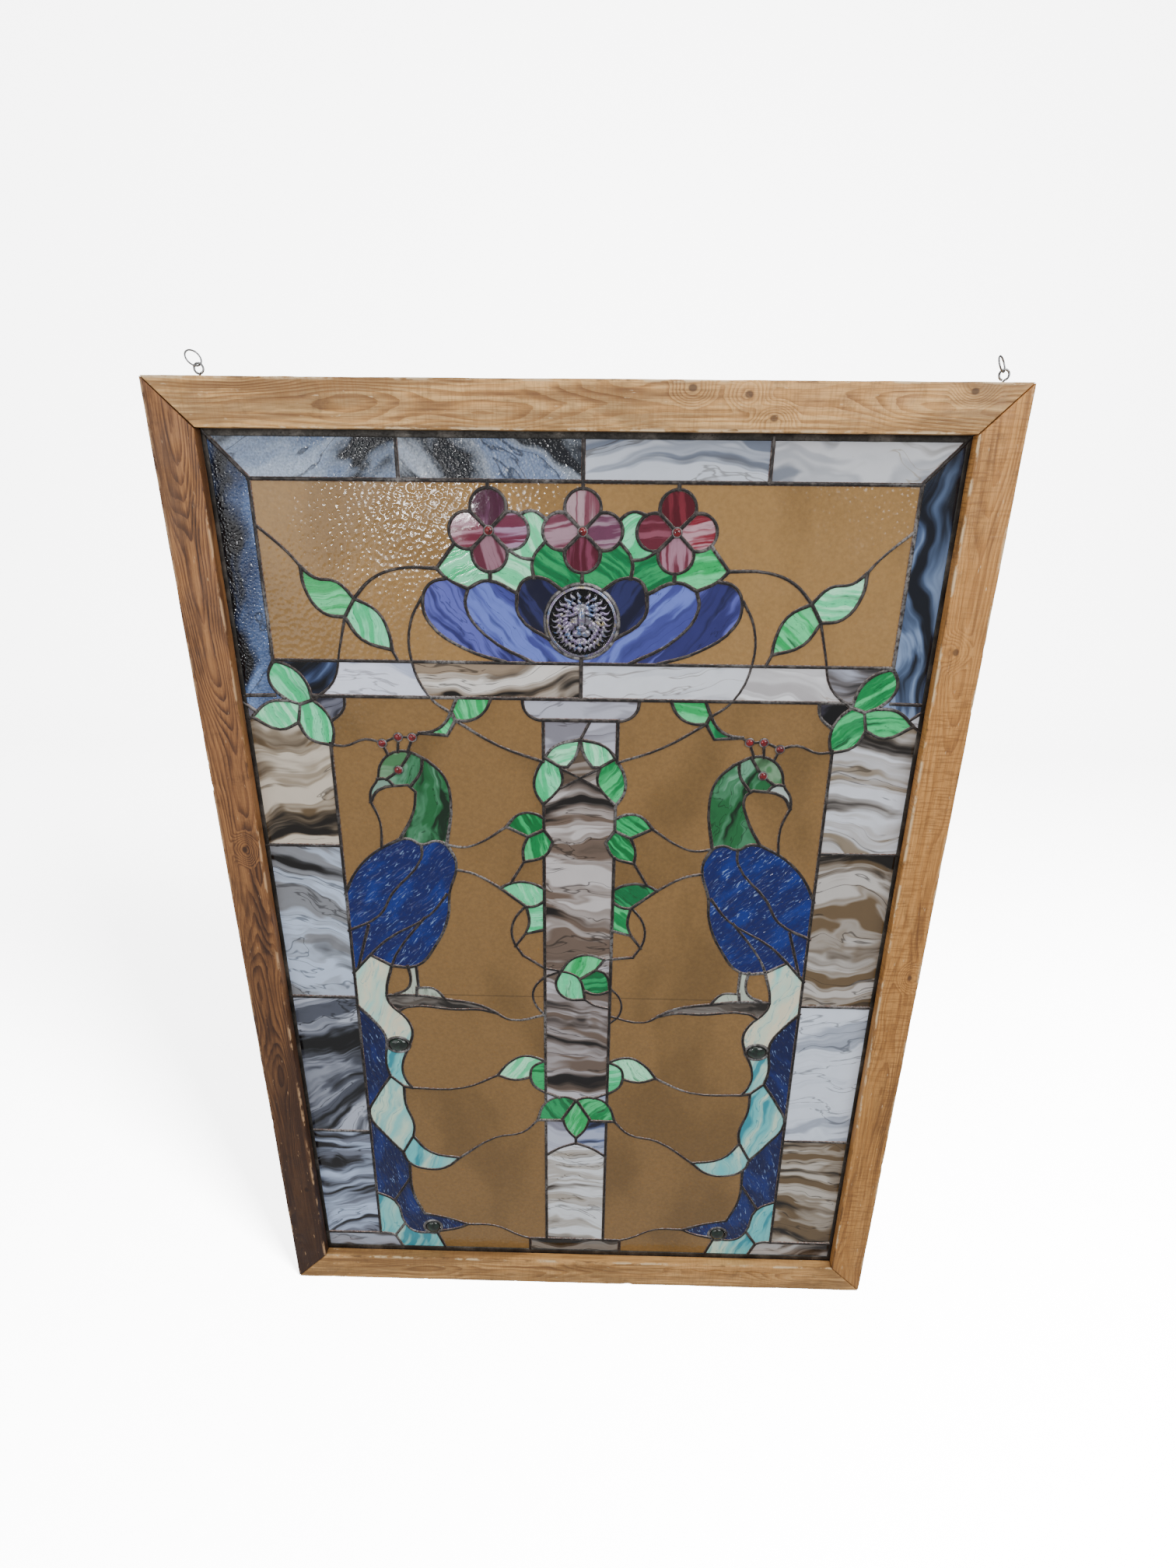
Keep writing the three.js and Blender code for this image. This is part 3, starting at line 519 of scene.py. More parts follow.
def drawPeacock():
    # Head and neck.
    pair(foil, (-0.289, 0.918), (-0.288, 0.934), (-0.277, 0.952), (-0.272, 0.972),
         (-0.258, 0.988), (-0.236, 0.993), (-0.207, 0.98))
    pair(foil, (-0.207, 0.98), (-0.186, 0.958), (-0.178, 0.922), (-0.187, 0.855))
    pair(foil, (-0.289, 0.918), (-0.277, 0.936), (-0.236, 0.944), (-0.226, 0.934),
         (-0.231, 0.904), (-0.253, 0.862))
    pair(foil, (-0.277, 0.952), (-0.265, 0.952), (-0.256, 0.943))
    pair(wide, (-0.265, 0.952), (-0.247, 0.966), (-0.229, 0.992))
    pair(foil, (-0.214, 0.984), (-0.217, 0.964), (-0.231, 0.944))
    pair(vine, (-0.289, 0.918), (-0.279, 0.888), (-0.28, 0.848))
    # Crest.
    pair(vine, (-0.266, 1.004), (-0.244, 1.013), (-0.225, 1.013), (-0.215, 1.019))
    pair(vine, (-0.266, 1.003), (-0.26, 0.988))
    pair(vine, (-0.244, 1.012), (-0.246, 0.992))
    pair(vine, (-0.225, 1.012), (-0.233, 0.992))
    # Body.
    pair(foil, (-0.253, 0.862), (-0.238, 0.862), (-0.223, 0.854), (-0.202, 0.86), (-0.187, 0.855))
    pair(foil, (-0.187, 0.855), (-0.175, 0.826), (-0.187, 0.777), (-0.191, 0.738),
         (-0.213, 0.687), (-0.244, 0.651), (-0.281, 0.651))
    pair(foil, (-0.253, 0.862), (-0.29, 0.841), (-0.32, 0.81), (-0.339, 0.773))
    pair(foil, (-0.34, 0.637), (-0.312, 0.669), (-0.281, 0.651))
    pair(vine, (-0.223, 0.854), (-0.225, 0.832), (-0.271, 0.774), (-0.292, 0.738), (-0.34, 0.711))
    pair(vine, (-0.191, 0.775), (-0.218, 0.74), (-0.284, 0.697), (-0.312, 0.669))
    pair(vine, (-0.226, 0.735), (-0.271, 0.674), (-0.281, 0.651))
    pair(vine, (-0.31, 0.721), (-0.331, 0.65))
    # Leg, foot and branch.
    pair(foil, (-0.257, 0.651), (-0.254, 0.626), (-0.26, 0.61), (-0.279, 0.6))
    pair(foil, (-0.244, 0.651), (-0.243, 0.612), (-0.22, 0.611), (-0.203, 0.592))
    pair(foil, (-0.245, 0.613), (-0.247, 0.598))
    pair(foil, (-0.293, 0.597), (-0.247, 0.598), (-0.203, 0.592))
    pair(foil, (-0.276, 0.568), (-0.262, 0.576), (-0.188, 0.573), (-0.15, 0.574), (-0.124, 0.568))
    pair(foil, (-0.203, 0.592), (-0.15, 0.582), (-0.124, 0.568))
    pair(vine, (-0.124, 0.568), (-0.103, 0.556), (-columnX, 0.567))


def drawTail():
    ovalX, ovalZ = netValues["ovalPlace"]
    pair(foil, (-0.281, 0.651), (-0.293, 0.6), (-0.29, 0.583), (-0.265, 0.553), (-0.258, 0.53),
         (-0.264, 0.504))
    pair(foil, (-0.264, 0.504), (-0.279, 0.46), (-0.275, 0.434), (-0.265, 0.418))
    pair(foil, (-0.341, 0.578), (-0.317, 0.549), (-0.302, 0.523), (ovalX - 0.018, ovalZ))
    pair(foil, (-0.3, 0.504), (-0.304, 0.466), (-0.299, 0.441))
    pair(foil, (-0.299, 0.441), (-0.279, 0.421))
    pair(foil, (-0.279, 0.421), (-0.265, 0.418))
    pair(foil, (-0.299, 0.441), (-0.324, 0.4), (-0.34, 0.361), (-0.315, 0.314), (-0.29, 0.28))
    pair(foil, (-0.279, 0.421), (-0.279, 0.385), (-0.268, 0.34), (-0.271, 0.316))
    pair(foil, (-0.271, 0.316), (-0.29, 0.28))
    pair(foil, (-0.271, 0.316), (-0.244, 0.282), (-0.195, 0.271))
    pair(foil, (-0.195, 0.271), (-0.222, 0.248), (-0.252, 0.244), (-0.281, 0.257), (-0.29, 0.28))
    pair(foil, (-0.281, 0.257), (-0.28, 0.19), (-0.263, 0.14), (-0.225, 0.131), (-0.188, 0.117))
    pair(foil, (-0.188, 0.117), (-0.203, 0.108), (-0.238, 0.099))
    pair(vine, (-0.281, 0.226), (-0.313, 0.17))
    pair(foil, (-0.343, 0.187), (-0.313, 0.168), (-0.298, 0.113), (-0.282, 0.096), (-0.25, 0.0955))
    pair(foil, (-0.3, 0.114), (-0.318, 0.086))
    pair(foil, (-0.244, 0.097), (-0.23, 0.058))


def drawVines():
    pair(vine, (-0.187, 0.855), (-0.165, 0.851), (-0.145, 0.856), (-0.102, 0.884))
    pair(vine, (-0.078, 0.83), (-0.098, 0.795))
    pair(vine, (-0.175, 0.815), (-0.15, 0.809), (-0.113, 0.787))
    pair(vine, (-0.078, 0.757), (-0.095, 0.732), (-0.097, 0.703), (-0.082, 0.674))
    pair(vine, (-0.078, 0.711), (-0.093, 0.69))
    line(vine, (-0.082, 0.674), (-columnX, 0.652))
    line(vine, (0.082, 0.674), (columnX, 0.67))
    line(vine, (-columnX, 0.637), (-0.066, 0.615), (-0.066, 0.59), (-columnX, 0.566))
    line(vine, (columnX, 0.618), (0.065, 0.598), (0.065, 0.57), (columnX, 0.553))
    pair(vine, (-0.265, 0.418), (-0.184, 0.42), (-0.126, 0.448))
    pair(vine, (-0.063, 0.357), (-0.088, 0.33), (-0.134, 0.317), (-0.195, 0.271))
    pair(vine, (-0.188, 0.117), (-0.14, 0.115), (-0.095, 0.092), (-0.079, 0.087))


for draw in (drawBorder, drawColumn, drawTopVine, drawFlowers, drawBowl,
             drawPeacock, drawTail, drawVines):
    draw()
print("net: %d lines" % len(netLines))


def turnAt(points, i):
    before, after = points[i] - points[i - 1], points[i + 1] - points[i]
    return abs(before.angle_signed(after))


def addSpline(curve, points, swell, closed=False):
    # Smooth through the stations, with a corner where the line turns sharply.
    spline = curve.splines.new("BEZIER")
    spline.bezier_points.add(len(points) - 1)
    spline.use_cyclic_u = closed
    for i, (station, bead) in enumerate(zip(spline.bezier_points, points)):
        end = not closed and i in (0, len(points) - 1)
        corner = not closed and (end or turnAt(points, i) > netValues["cornerTurn"])
        station.co = (bead.x, bead.y, 0)
        station.handle_left_type = station.handle_right_type = "VECTOR" if corner else "AUTO"
        station.radius = swell(end)


def stretched(points):
    # The ends run on into the lines that they meet.
    reach = netValues["endReach"]
    first = points[0] + (points[0] - points[1]).normalized() * reach
    last = points[-1] + (points[-1] - points[-2]).normalized() * reach
    return [first] + points[1:-1] + [last]


def newCurve(name, width, halfDepth, rounding):
    curve = bpy.data.curves.new(name, "CURVE")
    curve.dimensions = "2D"
    curve.fill_mode = "NONE"
    curve.resolution_u = 4
    curve.bevel_depth = width / 2
    curve.bevel_resolution = rounding
    curve.extrude = halfDepth - width / 2
    curve.use_fill_caps = True
    return curve


def standUp(curve, midY):
    # The drawing lies flat and is turned up to face the front.
    thing = curveMesh(curve)
    thing.rotation_euler = (math.pi / 2, 0, 0)
    thing.location = (0, midY, 0)
    applyPlace(thing)
    return thing


def standingRing(name, centre, radii, rimWidth, width, halfDepth, rounding, swell):
    # A ring that follows the middle of the rim round a set-in piece.
    x, z = placed(centre)
    turns = [2 * math.pi * i / netValues["ringStations"] for i in range(netValues["ringStations"])]
    across, up = (radius + rimWidth / 2 for radius in radii)
    curve = newCurve(name, width, halfDepth, rounding)
    addSpline(curve, [Vector((x + across * math.cos(t), z + up * math.sin(t))) for t in turns],
              swell, closed=True)
    return standUp(curve, glassMidY)


roundSets = [((0, netValues["medallionZ"]), (netValues["medallionRadius"],) * 2, netValues["medallionRim"])]
for side in (1, -1):
    for at, radii in (("ovalPlace", "ovalRadius"), ("nuggetPlace", "nuggetRadius")):
        x, z = netValues[at]
        roundSets.append(((x * side, z), netValues[radii], foil))


# Panes: a sheet of glass parted by thin walls along the lines.
def paneWalls():
    halfDepth = (glassBackY - glassFrontY) / 2 + netValues["wallProud"]
    width = netValues["wallWidth"]
    walls = []
    for third in range(3):                    # lines that meet end to end stay apart
        curve = newCurve("wall", width, halfDepth, 0)
        for _, points in netLines[third::3]:
            addSpline(curve, stretched(points), lambda end: 1)
        walls.append(standUp(curve, glassMidY))
    for centre, radii, rimWidth in roundSets:
        walls.append(standingRing("wall", centre, radii, rimWidth, width, halfDepth, 0, lambda end: 1))
    parts = []
    for wall in walls:
        mergeDoubles(wall)
        parts += looseParts(wall)
    return parts


def fieldBox(front, back):
    # The opening of the came, between two depths.
    return newBox((-netValues["fieldX"], front, footZ + netValues["fieldLow"]),
                  (netValues["fieldX"], back, footZ + netValues["fieldHigh"]))


def cutPanes():
    walls = paneWalls()
    group = bpy.data.collections.new("walls")
    for wall in walls:
        group.objects.link(wall)
    sheet = fieldBox(glassFrontY, glassBackY)
    addModifier(sheet, "BOOLEAN", operation="DIFFERENCE", operand_type="COLLECTION",
                collection=group, solver="MANIFOLD")
    applyModifiers(sheet)
    deleteAll(walls)
    bpy.data.collections.remove(group)
    return looseParts(sheet)


def frontTriangles(pane):
    # (middle, area) of each triangle of the pane's front.
    mesh = pane.data
    mesh.calc_loop_triangles()
    corners = [vertex.co for vertex in mesh.vertices]
    spots = []
    for triangle in mesh.loop_triangles:
        if triangle.normal.y < netValues["facingFront"]:
            a, b, c = (corners[i] for i in triangle.vertices)
            spots.append(((a + b + c) / 3, triangle.area))
    return spots


def nodeBehind(trees, pane):
    # The CAD glass that most of the pane's front lies on.
    votes = {}
    for spot, area in frontTriangles(pane):
        start = spot - Vector((0, netValues["lookFrom"], 0))
        for name, tree in trees.items():
            if tree.ray_cast(start, Vector((0, 1, 0)))[0] is not None:
                votes[name] = votes.get(name, 0) + area
                break
    return max(votes, key=votes.get) if votes else None


def sortPanes(panes):
    graph = bpy.context.evaluated_depsgraph_get()
    names = [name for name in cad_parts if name.startswith(("glass_", "lion_", "tail_"))]
    trees = {name: BVHTree.FromObject(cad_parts[name], graph) for name in names}
    sorts = {}
    for pane in panes:
        sorts.setdefault(nodeBehind(trees, pane), []).append(pane)
    return sorts


panes = cutPanes()
paneSorts = sortPanes(panes)
print("panes: %d in %d glasses and settings" % (len(panes), len(paneSorts)))


# Glasses. One recipe serves them all: three colours that flow through each other along
# the pane's own direction, and a surface that is smooth, rippled or hammered.
glassDefaults = dict(flow=30, bands=0.0, vein=0.0, mottle=0.05, wave="smooth", waveSize=50,
                     waveDepth=0.0005, rough=(0.07, 0.2), through=0.0)
glassRecipes = dict(
    amber=dict(flow=7, stretch=(1, 1, 0.5), warp=0.02, mottle=0.10, wave="hammered", waveSize=175,
               rough=(0.10, 0.2), through=0.08, punch=(1.0, 1.0), seam=0.6),
    opal=dict(flow=13, stretch=(0.15, 1, 2.0), warp=0.11, bands=9.0, vein=0.95, mottle=0.03,
              waveSize=38, waveDepth=0.0006, punch=(1.35, 1.42)),
    frosted=dict(flow=11, stretch=(0.40, 1, 1.3), warp=0.09, bands=3.0, vein=0.95, mottle=0.30,
                 wave="hammered", waveSize=330, waveDepth=0.0007, rough=(0.10, 0.26), punch=(1.35, 1.35)),
    leaf=dict(flow=52, stretch=(0.13, 1, 1.9), warp=0.016, bands=2.0, vein=0.8, mottle=0.08,
              wave="rippled", waveSize=150, rough=(0.08, 0.2), punch=(1.30, 1.12)),
    petal=dict(flow=60, stretch=(0.13, 1, 2.0), warp=0.008, bands=2.0, vein=0.8, waveSize=60,
               rough=(0.07, 0.18), punch=(1.15, 1.0)),
    bowl=dict(stretch=(0.14, 1, 1.9), warp=0.030, bands=4.0, vein=0.8, punch=(1.2, 1.1)),
    neck=dict(flow=24, stretch=(0.28, 1, 1.3), warp=0.08, bands=7.0, vein=0.95, punch=(1.25, 1.0)),
    # The cobalt's glint colour is a painted highlight on its ripples.
    cobalt=dict(stretch=(0.5, 1, 1.3), warp=0.02, mottle=0.14, wave="rippled", waveSize=170,
                waveDepth=0.0030, rough=(0.05, 0.14), paintedGlint="8ba6d6", punch=(1.0, 0.9)),
    cream=dict(flow=24, stretch=(0.14, 1, 1.7), warp=0.05, bands=3.0, vein=0.85, mottle=0.04,
               waveSize=45, waveDepth=0.0006, rough=(0.08, 0.2), punch=(1.2, 1.2)),
    grey=dict(stretch=(0.16, 1, 1.9), warp=0.04, bands=5.0, vein=0.9, mottle=0.06,
              waveSize=45, waveDepth=0.0006, rough=(0.08, 0.2), punch=(1.1, 1.1)),
)
streakValues = dict(                          # alike in every glass
    sway=0.45, curl=1.5, curlShare=0.30,      # sizes of the bends, as shares of the flow
    bendMiddle=(0.65, 0.65, 0.65),
    bandRise=0.035, meeting=(0.40, 0.60),     # how sharply two colours meet
    veinShift=(3.1, 0, 7.7), veinSize=1.05,
    fringe=(0.49, 0.58), fringeMix=0.4, fringeShare=0.8, tongue=(0.555, 0.635),
    threadLevel=0.44, thread=(0.011, 0.001), threadShare=1.1,
    seamHalf=(0.0012, 0.0004), seamShare=0.55, seamTint="3f2f1d",
    # Where the painted glints fall and how long they are drawn out; then the refraction of the glass.
    paintedGlintStretch=(0.6, 1, 1.2), paintedGlintLevel=(0.60, 0.72), refraction=1.52,
)


def surfaceWaves(add, place, flowing, recipe):
    size, depth = recipe["waveSize"], recipe["waveDepth"]
    broad = bump(add, noise(add, place, 14, 1), 0.0012, 0.5)
    if recipe["wave"] == "hammered":
        cells = add("TexVoronoi", {"Vector": place, "Scale": size, "Smoothness": 0.6},
                    feature="SMOOTH_F1").outputs["Distance"]
        return bump(add, cells, depth, 1.0, broad)
    if recipe["wave"] == "rippled":
        squeezed = mapped(add, flowing, scale=(0.45, 1, 1))
        return bump(add, noise(add, squeezed, size, 2, 0.4, 0.5), depth, 1.0, broad)
    return bump(add, noise(add, place, size, 3, 0.45), depth, 0.5, broad)


def flowPlace(add, place, paneFlow, recipe):
    # The place on the sheet that the pane is cut from, drawn out along the pane's direction.
    values = streakValues
    moved = vectorSum(add, place, paneFlow.outputs["Vector"])
    turned = add("VectorRotate", {"Vector": moved, "Axis": (0, 1, 0),
                                  "Angle": paneFlow.outputs["Alpha"]}).outputs[0]
    # The flow is bent twice: a broad sway, then smaller curls.
    sway, curl = (add("TexNoise", {"Vector": turned, "Scale": recipe["flow"] * values[size],
                                   "Detail": 1.0}).outputs["Color"] for size in ("sway", "curl"))
    scaledCurl = add("VectorMath", {0: curl, "Scale": values["curlShare"]}, operation="SCALE").outputs[0]
    centred = vectorSum(add, vectorSum(add, sway, scaledCurl), values["bendMiddle"], "SUBTRACT")
    offset = add("VectorMath", {0: centred, "Scale": recipe["warp"]}, operation="SCALE").outputs[0]
    return mapped(add, vectorSum(add, turned, offset), scale=recipe["stretch"])


def veinColour(add, colour, second, dark, flowing, recipe):
    # Dark glass runs through the pale in tongues with a soft fringe, and in thin threads.
    values = streakValues
    shifted = mapped(add, flowing, shift=values["veinShift"])
    strand = noise(add, shifted, recipe["flow"] * values["veinSize"], 4, 0.5, 0.3)
    level = plus(add, strand, minus(add, dark.outputs["Alpha"], 0.5))
    fringe = times(add, span(add, level, *values["fringe"]), recipe["vein"])
    between = blendColour(add, values["fringeMix"], second.outputs["Color"], dark.outputs["Color"])
    colour = blendColour(add, times(add, fringe, values["fringeShare"]), colour, between)
    tongues = times(add, span(add, level, *values["tongue"]), recipe["vein"])
    edge = calc(add, "ABSOLUTE", minus(add, strand, values["threadLevel"]))
    threads = times(add, span(add, edge, *values["thread"]),
                    times(add, dark.outputs["Alpha"], values["threadShare"]))
    return blendColour(add, calc(add, "MAXIMUM", tongues, threads), colour, dark.outputs["Color"])


def glassMaterial(name, recipe):
    values = streakValues
    material, add, shader, place = newMaterial(name)
    paneFlow = add("Attribute", attribute_name="paneFlow")        # shift, and direction in alpha
    main, second, dark = (add("Attribute", attribute_name="glass" + letter) for letter in "ABC")
    flowing = flowPlace(add, place, paneFlow, recipe)

    # Two glasses run side by side; thin bands follow the line where they meet.
    cloud = noise(add, flowing, recipe["flow"], 3, 0.45, 0.3)
    bandWave = calc(add, "SINE", times(add, cloud, 6.283 * recipe["bands"]))
    banded = plus(add, cloud, times(add, bandWave, values["bandRise"]))
    amount = span(add, plus(add, banded, minus(add, second.outputs["Alpha"], 0.5)), *values["meeting"])
    colour = blendColour(add, amount, main.outputs["Color"], second.outputs["Color"])
    if recipe["vein"] > 0:
        colour = veinColour(add, colour, second, dark, flowing, recipe)
    # Flashed glass is deep in its darks and clear in its lights.
    gamma, gain = recipe["punch"]
    deep = add("Gamma", {"Color": colour, "Gamma": gamma}).outputs[0]
    colour = blendColour(add, 1.0, deep, (gain, gain, gain), "MULTIPLY")
    if "seam" in recipe:
        # The lower amber ground is laid in two sheets that meet edge to edge.
        height = add("SeparateXYZ", {0: place}).outputs["Z"]
        away = calc(add, "ABSOLUTE", minus(add, height, footZ + recipe["seam"]))
        colour = stainWith(add, colour, values["seamTint"],
                           span(add, away, *values["seamHalf"], 0.0, values["seamShare"]))
    fine = noise(add, place, recipe["waveSize"] * 1.2, 3, 0.6)
    shade = span(add, fine, 0.3, 0.7, 1 - recipe["mottle"], 1 + recipe["mottle"] * 0.5)
    grey = add("CombineColor", {"Red": shade, "Green": shade, "Blue": shade}).outputs[0]
    colour = blendColour(add, 1.0, colour, grey, "MULTIPLY")
    if "paintedGlint" in recipe:
        # Painted glints: paler sparks on the crests of the ripples, gathered in patches, stand in for light
        # caught on the rippled glass.
        crest = mapped(add, flowing, scale=values["paintedGlintStretch"])
        paintedSparks = span(add, noise(add, crest, recipe["waveSize"] * 1.7, 2, 0.5, 0.4), *values["paintedGlintLevel"])
        paintedGlintPatches = span(add, noise(add, place, 22, 2), 0.36, 0.66, 0.25, 0.95)
        colour = stainWith(add, colour, recipe["paintedGlint"], paintedSparks, paintedGlintPatches)
    smear = span(add, noise(add, place, 22, 3), 0.42, 0.75, *recipe["rough"])
    wireUp(shader, Base_Color=colour, Roughness=smear, IOR=values["refraction"],
           Normal=surfaceWaves(add, place, flowing, recipe), Transmission_Weight=recipe["through"])
    return material


glassMaterials = {name: glassMaterial("glass_" + name, {**glassDefaults, **recipe})
                  for name, recipe in glassRecipes.items()}


# Looks of the panes: (recipe, main colour, second colour and its share, dark colour and
# its share, direction of the flow in turns). The border's go by the middle of the pane.
borderLooks = {
    (-0.33, 1.357): ("frosted", "5c7294", "a9b5c6", 0.46, "0d121d", 0.53, 0.03),
    (-0.11, 1.357): ("frosted", "8492ab", "c4ccd6", 0.46, "10141f", 0.54, 0.9),
    (0.11, 1.357): ("opal", "c2c7d0", "7f8796", 0.50, "4f4636", 0.42, 0.02),
    (0.33, 1.357): ("opal", "c6c8cc", "868b95", 0.48, "8f8269", 0.42, 0.98),
    (-0.42, 1.22): ("frosted", "8299bf", "2f4164", 0.50, "070a12", 0.50, 0.24),
    (0.42, 1.22): ("opal", "8a9cb8", "4d5f7d", 0.52, "0c1220", 0.54, 0.25),
    (-0.37, 1.09): ("opal", "7c8fb4", "2a3858", 0.52, "06080f", 0.54, 0.1),
    (-0.27, 1.09): ("opal", "d6dae6", "aab2c6", 0.42, "3b2e24", 0.36, 0.0),
    (-0.11, 1.092): ("opal", "d2cfcb", "9a8c7c", 0.50, "120d0c", 0.53, 0.0),
    (0.11, 1.092): ("opal", "cfd2d8", "9da3af", 0.45, "5d4c3e", 0.41, 0.02),
    (0.27, 1.09): ("opal", "d8d9dc", "b0aeb0", 0.40, "86705a", 0.38, 0.0),
    (0.37, 1.09): ("opal", "a9adba", "6d6256", 0.50, "100e12", 0.53, 0.0),
    (0.0, 1.055): ("opal", "b4b6c1", "8a8992", 0.50, "47403f", 0.42, 0.0),
    (-0.33, 1.055): ("opal", "9496a3", "3b3c49", 0.50, "0e0d12", 0.52, 0.1),
    (0.33, 1.055): ("opal", "34323e", "55515f", 0.40, "08080c", 0.52, 0.1),
    (-0.42, 0.99): ("opal", "bcc0cc", "82828d", 0.45, "443930", 0.46, 0.0),
    (0.42, 0.99): ("opal", "c9cbd2", "918f98", 0.45, "352b26", 0.46, 0.0),
    (-0.39, 0.90): ("opal", "c4bcb0", "75654f", 0.50, "1a130e", 0.475, 0.03),
    (-0.39, 0.72): ("opal", "bac6d8", "8c8e93", 0.48, "15110f", 0.47, 0.97),
    (-0.39, 0.46): ("opal", "b0b5c1", "5f636f", 0.50, "0a0a0e", 0.515, 0.08),
    (-0.39, 0.2): ("opal", "b5c3da", "7f8492", 0.48, "191518", 0.50, 0.02),
    (0.39, 0.90): ("opal", "c9ccd3", "8f8577", 0.48, "1f1814", 0.46, 0.97),
    (0.39, 0.72): ("opal", "b9b6b3", "75654f", 0.50, "171110", 0.51, 0.0),
    (0.39, 0.46): ("opal", "d0d7e2", "a2a9b6", 0.44, "1c1719", 0.42, 0.04),
    (0.39, 0.2): ("opal", "b7b2ab", "75654f", 0.50, "1d1612", 0.49, 0.0),
    (-0.39, 0.075): ("opal", "a6acb8", "74706f", 0.45, "2b2320", 0.47, 0.0),
    (0.39, 0.075): ("opal", "b1b0b0", "7b7168", 0.45, "2b2320", 0.47, 0.0),
}
columnLooks = {
    (0.0, 1.02): ("opal", "b3aca6", "7c6a55", 0.50, "1d1614", 0.49, 0.1),
    (0.0, 0.97): ("opal", "aaa5a3", "6d6053", 0.50, "1d1717", 0.50, 0.05),
    (0.0, 0.78): ("opal", "bdb9b9", "77695f", 0.50, "17110f", 0.52, 0.0),
    (0.0, 0.50): ("opal", "b8b6bb", "75685f", 0.50, "161114", 0.50, 0.0),
    (0.02, 0.53): ("opal", "b8b6bb", "75685f", 0.50, "161114", 0.50, 0.0),
    (-0.04, 0.34): ("opal", "b9bdca", "8a8a98", 0.45, "33302f", 0.40, 0.0),
    (0.04, 0.34): ("opal", "aab2c6", "5f6f9c", 0.45, "23263c", 0.45, 0.0),
    (0.0, 0.2): ("opal", "d3d6da", "aaa49c", 0.42, "33261b", 0.44, 0.03),
}
petalLooks = dict(                            # top, left, bottom, right of each flower
    left=(("54243f", "86597a", 0.46), ("7c2f45", "b18394", 0.46),
          ("6c3044", "a07a88", 0.48), ("7a3650", "b395b0", 0.50)),
    middle=(("86505f", "bba0a8", 0.50), ("b193a0", "80485a", 0.50),
            ("5e1a30", "86465e", 0.44), ("aa92a0", "754560", 0.50)),
    right=(("5e1426", "83303f", 0.42), ("6f2a3c", "95596a", 0.45),
           ("79384a", "ad8595", 0.52), ("8d2b3c", "c6a0aa", 0.52)),
)
bowlLooks = (("6c72bd", "3b3d78"), ("7787d2", "50569c"), ("343868", "191b3a"))
leafLooks = (("45cf93", "92ecc0", "0f6a42"), ("25b870", "74dca2", "0a5a30"), ("189459", "58cf8f", "063f24"),
             ("6fe0ab", "b8f8d4", "1c8252"), ("38bf7d", "14824a", "074a2a"), ("107f50", "38ab72", "042f1c"))
leafPlaces = {                                # leaves that stand out from the rest
    (-0.15, 1.225): 0, (-0.10, 1.235): 3, (-0.065, 1.27): 3, (-0.03, 1.235): 2, (0.03, 1.235): 3,
    (0.065, 1.27): 0, (0.09, 1.235): 5, (0.15, 1.225): 1, (0.19, 1.035): 5, (-0.19, 1.035): 1,
    (-0.33, 1.20): 1, (-0.27, 1.155): 0, (0.33, 1.20): 3, (0.27, 1.155): 1,
}
plainLooks = dict(
    amberHigh=("amber", "a07c4b", "8e6d40", 0.45, "6d4f27", 0.0, 0.0),
    amberLow=("amber", "8a6a3f", "775b34", 0.45, "6d4f27", 0.0, 0.0),
    neck=("neck", "7db094", "2d7a4c", 0.52, "153420", 0.49, 0.2),
    head=("neck", "a3bfa6", "5e8f66", 0.50, "24401f", 0.42, 0.05),
    beak=("neck", "bcc9c4", "8fae9f", 0.45, "55705a", 0.35, 0.0),
    body=("cobalt", "0a1c62", "112f86", 0.45, "0a1230", 0.0, 0.12),
    side=("cobalt", "08164c", "0f2870", 0.45, "0a1230", 0.0, 0.3),
    tailHigh=("cream", "dcd8c2", "9ed8d2", 0.48, "4fa3ae", 0.45, 0.2),
    tailLow=("cream", "c5dccb", "78c6c9", 0.53, "2f8d9e", 0.51, 0.2),
    leg=("grey", "b9c4b6", "97a596", 0.45, "5a6058", 0.40, 0.25),
    branch=("grey", "8d8985", "5d5650", 0.50, "1f1b19", 0.50, 0.98),
    base=("opal", "8a8681", "4b443e", 0.54, "0f0d0d", 0.55, 0.0),
)
paneValues = dict(
    seed=23, tilt=0.00018,                    # how far a pane's edge stands out of true
    cutShift=5, turnWaver=0.02,               # where on the sheet and how straight a pane is cut
    beakX=0.268, headZ=0.955, tailZ=0.5,      # where one glass of a bird gives way to the next
    branchZ=0.596, legX=0.2565, bowlX=(0.125, 0.075), leafReach=0.018,
)


def middleOf(pane):
    # The middle of the pane's front, on the drawing.
    spots = frontTriangles(pane)
    centre = sum((spot * area for spot, area in spots), Vector()) / sum(area for _, area in spots)
    x = centre.x + netValues["lean"] * (netValues["leanFrom"] - (centre.z - footZ))
    return x, centre.z - footZ


def nearest(places, x, z):
    return places[min(places, key=lambda place: math.dist(place, (x, z)))]


def flowerLook(node, x, z):
    side = node.rsplit("_", 1)[1]
    offsets = dict(left=-netValues["flowerSpacing"], middle=0.0, right=netValues["flowerSpacing"])
    angle = math.atan2(z - netValues["flowerZ"], x - offsets[side])
    petal = round((angle / (math.pi / 2) - 1)) % 4
    main, second, share = petalLooks[side][petal]
    return ("petal", main, second, share, "3d1422", 0.30, 0.25 * (petal + 1) + 0.02)


def leafLook(x, z, draws):
    which = draws.randrange(len(leafLooks))
    close = [index for place, index in leafPlaces.items()
             if math.dist(place, (x, z)) < paneValues["leafReach"]]
    main, second, dark = leafLooks[close[0] if close else which]
    return ("leaf", main, second, 0.50, dark, 0.42, draws.random())


def bowlLook(x):
    order = sum(abs(x) <= bound for bound in paneValues["bowlX"])
    main, second = bowlLooks[order]
    return ("bowl", main, second, 0.5, "1a1d3a", 0.42, 0.36 if x < 0 else 0.64)


